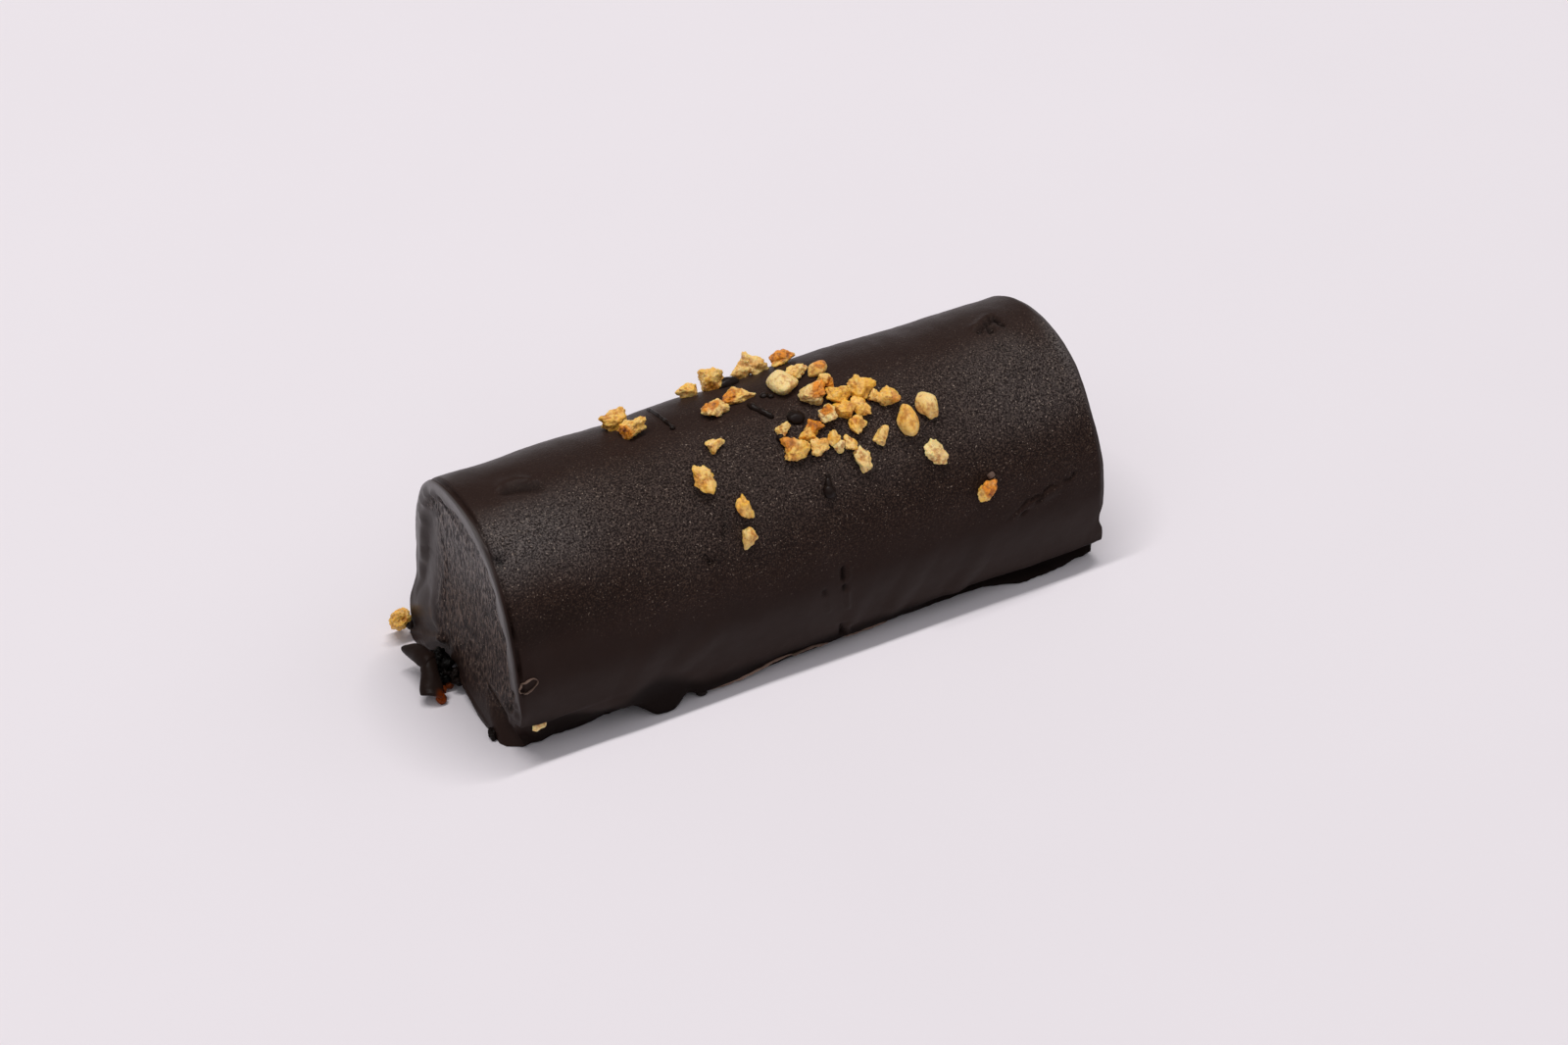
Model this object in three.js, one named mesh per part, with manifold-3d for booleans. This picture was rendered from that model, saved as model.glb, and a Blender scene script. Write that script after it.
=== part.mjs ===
// A single-portion log cake, coated all over in dark chocolate and set down on its flat base.
// Millimetres, +Z up, +X along the log. The origin is the middle of the base, on the surface that
// the cake stands on. The coat is closed over the cake, so the cake and its coat are one solid.

import * as THREE from "three";
import { mergeVertices } from "three/addons/utils/BufferGeometryUtils.js";
import Module from "manifold-3d";

const { smoothstep, lerp, degToRad } = THREE.MathUtils;

// ---- driving dimensions ----
const NEAR_END = -50; // x of the near end's rim
const FAR_END = 51; // x of the far end's rim
const BODY_NEAR = { halfWidth: 18.3, crest: 36.35, waist: 6.5, crownPower: 2.42, lean: 1.2 };
const BODY_FAR = { halfWidth: 20.2, crest: 36.5, waist: 11.2, crownPower: 2.14, lean: -0.5 };
const UNDER_POWER = 2.3; // how roundly the sides turn under towards the foot

const FOOT_HEIGHT = 0.8; // height of the thin edge of chocolate at the foot
const FOOT_ROUND = 0.9; // how far the flat base lies inside that edge
const FOOT_CHAMFER = { inset: 0.25, height: 0.25 }; // where that edge begins to round under
const GROOVE_HEIGHT = 2.4; // the groove above the foot, where the side turns under
const GROOVE_REACH = 1.9;

const RIM_WIDTH = 2.4; // the raised lip round each end
const RIM_HEIGHT = 0.9; // how far the lip stands out beyond the end face
const RIM_FLARE = 0.35; // how far the lip stands proud of the side
const FACE_RECESS = 0.5; // how far the end face lies inside the lip's foot
const FACE_BLEND = 11; // over which an uneven rim eases into the flat of the face
const CORNER_ROUND = 1.1; // rounding between a side and its end
const CORNER_REACH = 1.6;
const LIP_LOW = 3; // height at which the lip begins
const LIP_FULL = 9; // and at which it has its full size

// Soft swells: where along the log, how far they reach, and how much they add.
const CREST_SWELLS = [
  { at: -34, reach: 11, rise: -0.6 },
  { at: -11, reach: 9, rise: 0.25 },
  { at: 12, reach: 6, rise: -0.35 },
  { at: 21, reach: 7, rise: 0.3 },
  { at: 36, reach: 10, rise: -0.5 },
];

// The foot on each side: its half width, where it swells, and how deep the groove above it is.
const NEAR_FOOT = {
  halfWidth: 16.4,
  swells: [
    { at: -52, reach: 8, rise: -1.3 },
    { at: -38, reach: 11, rise: -0.8 },
    { at: -22, reach: 13, rise: 3.4 },
    { at: 6, reach: 9, rise: -0.7 },
    { at: 42, reach: 24, rise: 2 },
  ],
  grooves: [{ at: 38, reach: 30, rise: 1.6 }],
};
const FAR_FOOT = {
  halfWidth: 16.8,
  swells: [
    { at: -50, reach: 9, rise: 2.4 },
    { at: -8, reach: 12, rise: 1.2 },
    { at: 26, reach: 11, rise: 2.2 },
  ],
  grooves: [{ at: 10, reach: 34, rise: 1.3 }],
};

// Where chocolate slid down an end face and set, or pulled away from it: [y, z] of the middle,
// reach each way, sideways lean per millimetre of height, and how far it stands out.
const NEAR_BULGES = [
  { at: [12, 11], reach: [5.5, 14], lean: 0, out: 1.1 },
  { at: [6, 8], reach: [2.5, 6], lean: -0.5, out: 0.7 },
  { at: [9, 29], reach: [1.6, 8], lean: 0.6, out: 0.4 },
  { at: [5.5, 1], reach: [4, 5], lean: 0, out: -2.2 },
];
const FAR_BULGES = [
  { at: [-8, 12], reach: [6, 12], lean: 0, out: 0.9 },
  { at: [7, 18], reach: [3, 14], lean: 0.2, out: 0.6 },
];

// Unevenness of the hand-dipped coat: depth, and the length of its waves along the log.
const UNEVEN_DEPTH = 0.09;
const UNEVEN_WAVES = [9, 5.3];

// How the rim of the near end departs from a flat plane on its far side: worn back at mid height,
// run out at the foot. The far end's sides curve back a little.
const NEAR_WORN = { depth: 1.1, from: 3, to: 17, height: 18, reach: 15 };
const NEAR_RUN_OUT = { depth: 1.2, at: 16, width: 6, reach: 7 };
const FAR_CURVE = { depth: 0.5, from: 6, to: 20, height: 16, reach: 20 };
const SET_BACK_REACH = 9; // how far along the side that departure dies away

// The curl that hangs from the foot of the near end: a tongue down to the surface, and an ear.
const CURL_TONGUE = {
  route: [[-48, 8, 3.6], [-51.5, 7.6, 4.3], [-53.8, 6.2, 3.4], [-54.9, 4.2, 2], [-55, 2.4, 1]],
  acrossDirection: [0.3, 1, 0.2],
  halfWidths: [3.6, 1.9],
  halfThickness: 0.8,
};
const CURL_EAR = {
  route: [[-49, 8.5, 3.2], [-51.6, 9.2, 3.3], [-53, 10.6, 2.6], [-54.1, 12, 1.9]],
  acrossDirection: [-0.6, 0, 1],
  halfWidths: [2, 1.1],
  halfThickness: 0.7,
};
const TIP_NARROWING = 0.85;
const TIP_THINNING = 0.45;
const CURL_CLEARANCE = 0.05; // between the curl and the surface that the cake stands on

// ---- resolution ----
const TONGUE_SIDES = 12;
const TONGUE_STEPS = 10;
const BASE_STEPS = 3;
const LOWER_STEPS = 7;
const LOWER_CROWDING = 1.4; // draws the lower points together near the foot
const CROWN_STEPS = 16;
const LENGTH_STEPS = 37;
const EDGE_INSETS = [0, 0.7, 1.5, 2.4, 3.4, 5];
const PLAIN_INSET = 7.5;
const FACE_CENTRE = { y: 0, z: 14 };
const FACE_SCALES = [0.975, 0.94, 0.9, 0.86, 0.78, 0.64, 0.46, 0.25];

// A bell that is 1 in the middle and 0 from the reach outwards.
function bell(distance, reach) {
  const k = Math.min(Math.abs(distance) / reach, 1);
  return (1 - k * k) ** 2;
}

function swell(x, swells) {
  return swells.reduce((sum, { at, reach, rise }) => sum + rise * bell(x - at, reach), 0);
}

// The body's own dimensions at one place along the log.
function bodyAt(x) {
  const k = (x - NEAR_END) / (FAR_END - NEAR_END);
  const body = {};
  for (const key of Object.keys(BODY_NEAR)) {
    body[key] = lerp(BODY_NEAR[key], BODY_FAR[key], k);
  }
  body.crest += swell(x, CREST_SWELLS);
  return body;
}

// Half width of the side between the foot and the waist: it turns under, or flares where the foot
// runs out past the side, and the groove lies just above the foot.
function lowerWidth(body, foot, groove, z) {
  const k = (z - FOOT_HEIGHT) / (body.waist - FOOT_HEIGHT);
  const turnedUnder = 1 - (1 - (1 - k) ** UNDER_POWER) ** (1 / UNDER_POWER);
  const flared = (1 - k) ** UNDER_POWER;
  const overhang = body.halfWidth - foot;
  const drawnIn = overhang > 0 ? overhang * turnedUnder : overhang * flared;
  return body.halfWidth - drawnIn - groove * bell(z - GROOVE_HEIGHT, GROOVE_REACH);
}

// The points of one side from the base to just below the crown, as [y, z] with y towards the side.
function sideOutline(x, side) {
  const body = bodyAt(x);
  const { halfWidth, swells, grooves } = side < 0 ? NEAR_FOOT : FAR_FOOT;
  const foot = halfWidth + swell(x, swells);
  const groove = swell(x, grooves);
  const points = [];
  for (let i = 1; i <= BASE_STEPS; i++) {
    points.push([((foot - FOOT_ROUND) * i) / BASE_STEPS, 0]);
  }
  points.push([foot - FOOT_CHAMFER.inset, FOOT_CHAMFER.height]);
  for (let i = 0; i <= LOWER_STEPS; i++) {
    const z = lerp(FOOT_HEIGHT, body.waist, (i / LOWER_STEPS) ** LOWER_CROWDING);
    points.push([lowerWidth(body, foot, groove, z), z]);
  }
  const rise = body.crest - body.waist;
  for (let i = 1; i < CROWN_STEPS; i++) {
    const turn = degToRad((90 * i) / CROWN_STEPS);
    const across = (Math.cos(turn) / body.halfWidth) ** body.crownPower;
    const up = (Math.sin(turn) / rise) ** body.crownPower;
    const reach = (across + up) ** (-1 / body.crownPower);
    points.push([reach * Math.cos(turn), body.waist + reach * Math.sin(turn)]);
  }
  return points.map(([y, z]) => [side * y + leanAt(body, z), z]);
}

function leanAt(body, z) {
  return body.lean * smoothstep(z, 0, body.crest) - body.lean / 2;
}

// One closed section: base middle, near side, crown, far side.
function section(x) {
  const body = bodyAt(x);
  return [
    [0, 0],
    ...sideOutline(x, -1),
    [leanAt(body, body.crest), body.crest],
    ...sideOutline(x, 1).reverse(),
  ];
}

// Broad, shallow unevenness, pushed straight out from the core.
function unevenness(x, y, z) {
  const turn = Math.atan2(z - FACE_CENTRE.z, y);
  const [long, short] = UNEVEN_WAVES;
  const slow = Math.sin(x / long + 2 * Math.cos(turn)) + Math.sin(x / short - 3 * turn);
  return UNEVEN_DEPTH * slow * smoothstep(z, FOOT_HEIGHT, 3 * FOOT_HEIGHT);
}

function pushOut([y, z], distance) {
  const length = Math.hypot(y - FACE_CENTRE.y, z - FACE_CENTRE.z);
  const k = 1 + distance / length;
  return [FACE_CENTRE.y + (y - FACE_CENTRE.y) * k, FACE_CENTRE.z + (z - FACE_CENTRE.z) * k];
}

// The lip is full height over the arch and runs out towards the base.
function lipStrength(z) {
  return smoothstep(z, LIP_LOW, LIP_FULL);
}

// How far the rim lies behind its end plane; negative where it runs out.
function setBack(end, y, z) {
  if (end > 0) {
    const { depth, from, to, height, reach } = FAR_CURVE;
    return depth * smoothstep(Math.abs(y), from, to) * bell(z - height, reach);
  }
  const { depth, from, to, height, reach } = NEAR_WORN;
  const worn = depth * smoothstep(y, from, to) * bell(z - height, reach);
  const runOut = bell(y - NEAR_RUN_OUT.at, NEAR_RUN_OUT.width) * bell(z, NEAR_RUN_OUT.reach);
  return worn - NEAR_RUN_OUT.depth * runOut;
}

// Stations from end to end, closer together at the rims.
function stations() {
  const inner = [];
  for (let i = 0; i <= LENGTH_STEPS; i++) {
    inner.push(lerp(NEAR_END + PLAIN_INSET, FAR_END - PLAIN_INSET, i / LENGTH_STEPS));
  }
  const near = EDGE_INSETS.map((inset) => NEAR_END + inset);
  const far = EDGE_INSETS.map((inset) => FAR_END - inset).reverse();
  return [...near, ...inner, ...far];
}

// A ring of the side, with the lip's flare and the rounded corner near each end.
function sideRing(x) {
  const inset = Math.min(x - NEAR_END, FAR_END - x);
  const end = x - NEAR_END < FAR_END - x ? -1 : 1;
  const flare = RIM_FLARE * bell(inset - RIM_WIDTH / 2, RIM_WIDTH);
  const corner = CORNER_ROUND * (1 - smoothstep(inset, -CORNER_ROUND / 5, CORNER_REACH)) ** 2;
  const shift = 1 - smoothstep(inset, 0, SET_BACK_REACH);
  return section(x).map(([y, z]) => {
    const out = unevenness(x, y, z) + (flare - corner) * lipStrength(z);
    const [py, pz] = pushOut([y, z], out);
    return new THREE.Vector3(x - end * setBack(end, y, z) * shift, py, pz);
  });
}

// Height of the lip and the face beyond the rim plane, by distance inside the rim.
function faceProfile(inset) {
  const lip = RIM_HEIGHT * bell(inset - RIM_WIDTH / 2, RIM_WIDTH);
  return lip - FACE_RECESS * smoothstep(inset, RIM_WIDTH / 2, RIM_WIDTH * 1.5);
}

// Lobes, folds and hollows of an end face at one place on it.
function faceRelief(end, y, z) {
  const bulges = (end < 0 ? NEAR_BULGES : FAR_BULGES).map(
    ({ at, reach, lean, out }) =>
      out * bell(y - at[0] - lean * (z - at[1]), reach[0]) * bell(z - at[1], reach[1]),
  );
  return bulges.reduce((sum, bulge) => sum + bulge, 0);
}

// Rings of an end face, shrinking from the rim to the middle.
function faceRings(end, rim) {
  return FACE_SCALES.map((scale) =>
    rim.map((p) => {
      const dy = p.y - FACE_CENTRE.y;
      const dz = p.z - FACE_CENTRE.z;
      const inset = Math.hypot(dy, dz) * (1 - scale);
      const y = FACE_CENTRE.y + dy * scale;
      const z = FACE_CENTRE.z + dz * scale;
      const relief = faceRelief(end, y, z) * smoothstep(inset, 0, RIM_WIDTH);
      const out = faceProfile(inset) * lipStrength(z) + relief;
      const plane = lerp(p.x, end < 0 ? NEAR_END : FAR_END, smoothstep(inset, 0, FACE_BLEND));
      return new THREE.Vector3(plane + end * out, y, z);
    }),
  );
}

// A closed skin over a stack of rings of equal length, each end drawn in to its own middle point.
function skin(rings, firstMiddle, lastMiddle) {
  const points = [firstMiddle, ...rings.flat(), lastMiddle];
  const count = rings[0].length;
  const at = (ring, i) => 1 + ring * count + (i % count);
  const last = points.length - 1;
  const faces = [];
  for (let i = 0; i < count; i++) {
    faces.push(0, at(0, i), at(0, i + 1));
    for (let r = 0; r + 1 < rings.length; r++) {
      faces.push(at(r, i), at(r + 1, i), at(r + 1, i + 1));
      faces.push(at(r, i), at(r + 1, i + 1), at(r, i + 1));
    }
    faces.push(last, at(rings.length - 1, i + 1), at(rings.length - 1, i));
  }
  const geometry = new THREE.BufferGeometry().setFromPoints(points);
  return geometry.setIndex(faces);
}

function logGeometry() {
  const side = stations().map(sideRing);
  const nearRings = faceRings(-1, side[0]).reverse();
  const farRings = faceRings(1, side[side.length - 1]);
  const nearMiddle = new THREE.Vector3(NEAR_END + FACE_RECESS, FACE_CENTRE.y, FACE_CENTRE.z);
  const farMiddle = new THREE.Vector3(FAR_END - FACE_RECESS, FACE_CENTRE.y, FACE_CENTRE.z);
  return skin([...nearRings, ...side, ...farRings], nearMiddle, farMiddle);
}

// A tongue of set chocolate along a curve: a flat oval that narrows to its tip.
function tongueGeometry({ route, acrossDirection, halfWidths, halfThickness }) {
  const curve = new THREE.CatmullRomCurve3(route.map((p) => new THREE.Vector3(...p)));
  const rings = [];
  for (let i = 0; i <= TONGUE_STEPS; i++) {
    const k = i / TONGUE_STEPS;
    const middle = curve.getPoint(k);
    const along = curve.getTangent(k);
    const across = new THREE.Vector3(...acrossDirection);
    across.addScaledVector(along, -across.dot(along)).normalize();
    const up = new THREE.Vector3().crossVectors(along, across);
    const width = lerp(halfWidths[0], halfWidths[1], k) * Math.sqrt(1 - TIP_NARROWING * k ** 4);
    const thickness = halfThickness * (1 - TIP_THINNING * k ** 3);
    const ring = [];
    for (let j = 0; j < TONGUE_SIDES; j++) {
      const turn = (2 * Math.PI * j) / TONGUE_SIDES;
      const point = middle.clone().addScaledVector(across, width * Math.cos(turn));
      point.addScaledVector(up, thickness * Math.sin(turn));
      point.z = Math.max(point.z, CURL_CLEARANCE);
      ring.push(point);
    }
    rings.push(ring);
  }
  return skin(rings.reverse(), curve.getPoint(1), curve.getPoint(0));
}

const wasm = await Module();
wasm.setup();

function toSolid(geometry) {
  const merged = mergeVertices(geometry, 1e-3);
  return new wasm.Manifold(
    new wasm.Mesh({
      numProp: 3,
      vertProperties: merged.attributes.position.array,
      triVerts: new Uint32Array(merged.index.array),
    }),
  );
}

function toGeometry(solid) {
  const mesh = solid.getMesh();
  const geometry = new THREE.BufferGeometry();
  geometry.setAttribute("position", new THREE.BufferAttribute(mesh.vertProperties, 3));
  geometry.setIndex(new THREE.BufferAttribute(mesh.triVerts, 1));
  geometry.computeVertexNormals();
  return geometry;
}

const solid = toSolid(logGeometry())
  .add(toSolid(tongueGeometry(CURL_TONGUE)))
  .add(toSolid(tongueGeometry(CURL_EAR)));

const darkChocolate = new THREE.MeshStandardMaterial({
  color: 0x2b1c17,
  roughness: 0.5,
  metalness: 0,
});

const glazedLog = new THREE.Mesh(toGeometry(solid), darkChocolate);
glazedLog.name = "glazed_log";

const cake = new THREE.Group();
cake.add(glazedLog);

export default cake;
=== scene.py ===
"""A single-portion log cake in a dark chocolate coat, with chopped toasted nuts on top.

Lengths are millimetres in the log's own frame: +X along the log, +Z up, the origin in the middle
of the base. Meshes are scaled to metres when they are made. On the side of the log a place is
given as (x, turn): turn is the angle round the log in degrees, 0 on the near side, 90 on the
crest and 180 on the far side. On an end face a place is given as (y, z). A pair of numbers named
for a soft step is where the step starts and where it is full.
"""

import math

import bmesh
import bpy
import numpy as np
from mathutils import Matrix, Vector, noise
from mathutils.bvhtree import BVHTree


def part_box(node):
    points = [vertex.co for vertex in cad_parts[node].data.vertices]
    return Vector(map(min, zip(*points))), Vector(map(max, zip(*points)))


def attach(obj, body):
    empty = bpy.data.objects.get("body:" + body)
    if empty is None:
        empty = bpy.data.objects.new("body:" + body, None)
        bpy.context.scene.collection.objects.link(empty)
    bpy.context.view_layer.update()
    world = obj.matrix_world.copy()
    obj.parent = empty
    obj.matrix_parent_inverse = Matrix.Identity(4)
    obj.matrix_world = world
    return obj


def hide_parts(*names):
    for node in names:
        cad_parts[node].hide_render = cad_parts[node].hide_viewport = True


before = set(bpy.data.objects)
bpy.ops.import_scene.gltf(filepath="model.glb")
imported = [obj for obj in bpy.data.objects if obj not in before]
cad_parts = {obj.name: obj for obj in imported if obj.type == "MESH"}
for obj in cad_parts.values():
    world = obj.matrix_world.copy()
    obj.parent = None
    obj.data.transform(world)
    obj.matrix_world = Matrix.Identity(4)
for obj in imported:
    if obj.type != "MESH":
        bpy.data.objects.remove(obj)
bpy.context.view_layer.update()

MM = 0.001
FLOOR_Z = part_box("glazed_log")[0][2] / MM

# ---- the log's driving dimensions, as in the CAD part ----
NEAR_END, FAR_END = -50.0, 51.0
BODY_NEAR = {"half_width": 18.3, "crest": 36.8, "waist": 6.5, "power": 2.42, "lean": 1.2}
BODY_FAR = {"half_width": 20.2, "crest": 36.85, "waist": 11.2, "power": 2.14, "lean": -0.5}
UNDER_POWER = 2.3
FOOT_HEIGHT = 0.8
EDGE_RADIUS, EDGE_RISE = 0.6, 0.6
LIFT_START, LIFT_FULL = 7, 1.5
RAGGED, RAGGED_SIZE, RAGGED_DETAIL = 0.3, 2.6, 4
GROOVE_HEIGHT, GROOVE_REACH = 2.4, 1.9
ARRIS_ROUND = 0.03
CENTRE_Z = 14.0

# Swells along the log: (x, reach, rise).
CREST_SWELLS = [(-49, 9, 0.5), (-33, 15, 0.45), (-11, 10, 0.35), (17, 18, 0.7), (48, 7, -0.2)]
NEAR_FOOT = {
    "half_width": 16.6,
    "swells": [
        (-52, 6, -2.4), (-46, 5, -0.8), (-40, 12, -1.9), (-33.6, 4.5, -1.5), (-25.9, 5.9, 1.65),
        (-21.6, 2.2, -0.5), (10, 26, -0.85), (14, 5, -0.3), (39.5, 9, 2.3), (48, 8, 1.5),
    ],
    "grooves": [(38, 30, 2.4), (-4, 12, 0.9)],
    "lifts": [(-30.4, 3.4, 1.9), (-43, 11, 0.35), (-21.9, 2.3, 1.0), (8, 7, 0.3)],
    "slants": [(-42, 17, 1.7)],
    "slant_heights": [(-52, 22, 5.2)],
    "slant_height": 4.2,
}
FAR_FOOT = {
    "half_width": 16.8,
    "swells": [(-50, 9, 2.4), (-8, 12, 1.2), (26, 11, 2.2)],
    "grooves": [(10, 34, 1.3)],
    "lifts": [(-20, 7, 0.5), (8, 5, 0.6), (40, 8, 0.4)],
    "slants": [(-50, 12, 0.7), (30, 14, 0.4)],
    "slant_heights": [],
    "slant_height": 4.5,
}
# How the coat's bottom edge lifts off the surface along the near end: (y, reach, rise).
END_ARCHES = [(0.3, 6.0, 1.5), (6.0, 4.3, 3.2)]
END_ARCH_DEPTH = 5.0

# ---- the ends ----
# The near end has a flat rounded lip with a thin crease beside it; the far end is softly rounded.
NEAR_LIP = {"crest": 0.3, "flat": 1.6, "rise": 0.42, "fall": 3.5, "depth": 0.65}
FAR_LIP = {"crest": 1.6, "flat": 1.8, "rise": 0.35, "fall": 4.0, "depth": 0.5}
LIP_HEIGHTS = (7.0, 16.0)
LIP_OVERLAP = 0.4
LIP_WAVE_DEPTH, LIP_WAVE_SIZE = 1.1, 3.2
FACE_BLEND = 11.0
NEAR_CREASE = {"inset": 0.6, "reach": 0.5, "depth": 0.95, "heights": (10, 17)}
NEAR_CORNER = {"round": 0.22, "reach": 0.45}
FAR_CORNER = {"round": 0.9, "reach": 1.8}
CORNER_OVERLAP = 0.2
LOW_CORNER_INWARD = 1.7
SET_BACK_REACH = 9.0
# Spots where a rim lies behind its end plane: (y, reach), (z, reach), depth. Below zero it stands out.
FAR_SET_BACKS = [
    ((-18, 5), (9, 2.4), 0.75),
    ((-17, 7), (4.2, 4.2), -1.15),
    ((-6, 13), (29, 12), -0.5),
    ((-16, 15), (16, 13.5), -1),
]
NEAR_SET_BACKS = [((16, 6), (0, 7), -1.4), ((17, 6), (7, 5), -1.1)]
# The same with a step across instead of a spot: the step's y, (z, reach), depth.
NEAR_STEPS_BACK = [((3, 17), (18, 15), 0.95), ((2, 8), (30, 9), 0.4), ((-13, -15.2), (0, 6), 1.8)]
NEAR_FOOT_OUT = 0.9

# ---- resolution of the coat: counts, and powers above 1 that crowd the rows at the start ----
BASE_COLUMNS = 13
EDGE_COLUMNS = 6
LOWER_COLUMNS, LOWER_CROWDING = {"near": 32, "far": 22}, 1.25
CROWN_COLUMNS = {"near": 100, "far": 52}
END_ROWS, END_LENGTH, END_CROWDING = 31, 7.5, 1.3
MIDDLE_ROWS = 212
NEAR_CAP_ROWS, FAR_CAP_ROWS, CAP_CROWDING = 62, 40, 1.45


# ======== small helpers
def smoothstep(value, low, high):
    k = np.clip((value - low) / (high - low), 0, 1)
    return k * k * (3 - 2 * k)


def bell(distance, reach):
    """1 in the middle, 0 from the reach outwards."""
    k = np.minimum(np.abs(distance) / reach, 1)
    return (1 - k * k) ** 2


def swell(x, swells):
    return 0 * x + sum(rise * bell(x - at, reach) for at, reach, rise in swells)


def lerp(a, b, k):
    return a + (b - a) * k


def noise_at(points, scale, seed, octaves=1):
    """Smooth noise from -1 to 1 at each point, with features of about the given size in mm."""
    offset = Vector((17.3 * seed, -9.1 * seed, 5.7 * seed))
    values = []
    for p in points.reshape(-1, 3):
        place = Vector(p) / scale + offset
        if octaves == 1:
            values.append(noise.noise(place))
        else:
            values.append(noise.fractal(place, 1.0, 2.0, octaves))
    return np.array(values).reshape(points.shape[:-1])


def add_object(name, data):
    added = bpy.data.objects.new(name, data)
    bpy.context.scene.collection.objects.link(added)
    return added


def make_mesh(name, points, faces, attributes=None):
    """A smooth mesh object from points in millimetres, none of them below the floor."""
    points = np.array(points, float)
    points[:, 2] = np.maximum(points[:, 2], FLOOR_Z)
    mesh = bpy.data.meshes.new(name)
    mesh.from_pydata((points * MM).tolist(), [], faces)
    mesh.polygons.foreach_set("use_smooth", [True] * len(mesh.polygons))
    for key, values in (attributes or {}).items():
        layer = mesh.attributes.new(key, "FLOAT", "POINT")
        layer.data.foreach_set("value", np.asarray(values, np.float32).ravel())
    mesh.update()
    return add_object(name, mesh)


class Pile:
    """Gathers closed shapes, and values for their points, into one mesh."""

    def __init__(self):
        self.points, self.faces, self.values = [], [], {}

    def add(self, points, faces, **values):
        start = sum(len(p) for p in self.points)
        self.points.append(points)
        self.faces += [[start + corner for corner in face] for face in faces]
        for key, value in values.items():
            self.values.setdefault(key, []).append(value + np.zeros(len(points)))

    def mesh(self, name):
        attributes = {key: np.concatenate(parts) for key, parts in self.values.items()}
        return make_mesh(name, np.concatenate(self.points), self.faces, attributes)


def ring_quads(rows, columns):
    """Quads between each closed ring of points and the next."""
    quads = []
    for r in range(rows - 1):
        for c in range(columns):
            this, after = r * columns + c, r * columns + (c + 1) % columns
            quads.append((this, after, after + columns, this + columns))
    return quads


def tube_faces(rows, columns):
    """Faces of a tube of rings that is closed at both ends."""
    last = (rows - 1) * columns
    ends = [tuple(range(columns))[::-1], tuple(range(last, last + columns))]
    return ring_quads(rows, columns) + ends


def icosphere(levels):
    """Directions and triangles of an evenly split icosahedron."""
    ball = bmesh.new()
    bmesh.ops.create_icosphere(ball, subdivisions=levels, radius=1)
    ball.verts.ensure_lookup_table()
    points = np.array([v.co[:] for v in ball.verts])
    faces = [[v.index for v in f.verts] for f in ball.faces]
    ball.free()
    return points, faces


def spline(points, count):
    """Points along a smooth curve through the given ones."""
    p = np.asarray(points, float)
    p = np.concatenate([[2 * p[0] - p[1]], p, [2 * p[-1] - p[-2]]])
    out = []
    for t in np.linspace(0, len(points) - 1, count):
        i = min(int(t), len(points) - 2)
        k = t - i
        a, b, c, d = p[i : i + 4]
        bend = (2 * a - 5 * b + 4 * c - d) * k**2 + (3 * b - a - 3 * c + d) * k**3
        out.append(0.5 * (2 * b + (c - a) * k + bend))
    return np.array(out)


# ======== the coat's plain form
def body_at(x):
    k = (x - NEAR_END) / (FAR_END - NEAR_END)
    body = {key: lerp(BODY_NEAR[key], BODY_FAR[key], k) for key in BODY_NEAR}
    body["crest"] = body["crest"] + swell(x, CREST_SWELLS)
    return body


def lean_at(body, z):
    return body["lean"] * smoothstep(z, 0, body["crest"]) - body["lean"] / 2


def end_arch(x, y):
    inward = 1 - smoothstep(x - NEAR_END, 0, END_ARCH_DEPTH)
    return inward * sum(rise * bell(y - at, reach) for at, reach, rise in END_ARCHES)


def lower_width(body, foot, groove, slant, height, z):
    """Half width between the foot and the waist: turned under, or flared where the foot runs out.
    Where slant is 1, a straight bevel runs in to the foot below a soft arris instead."""
    k = np.clip((z - height) / (body["waist"] - height), 0, 1)
    turned_under = 1 - (1 - (1 - k) ** UNDER_POWER) ** (1 / UNDER_POWER)
    flared = (1 - k) ** UNDER_POWER
    share, arris = slant
    below = 1 - (z - height) / (arris - height)
    bevel = (below + np.sqrt(below**2 + ARRIS_ROUND)) / 2
    overhang = body["half_width"] - foot
    turned = lerp(turned_under, bevel, share)
    drawn_in = overhang * np.where(overhang > 0, turned, flared)
    cut = groove * bell(z - height + FOOT_HEIGHT - GROOVE_HEIGHT, GROOVE_REACH)
    return body["half_width"] - drawn_in - cut


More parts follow.
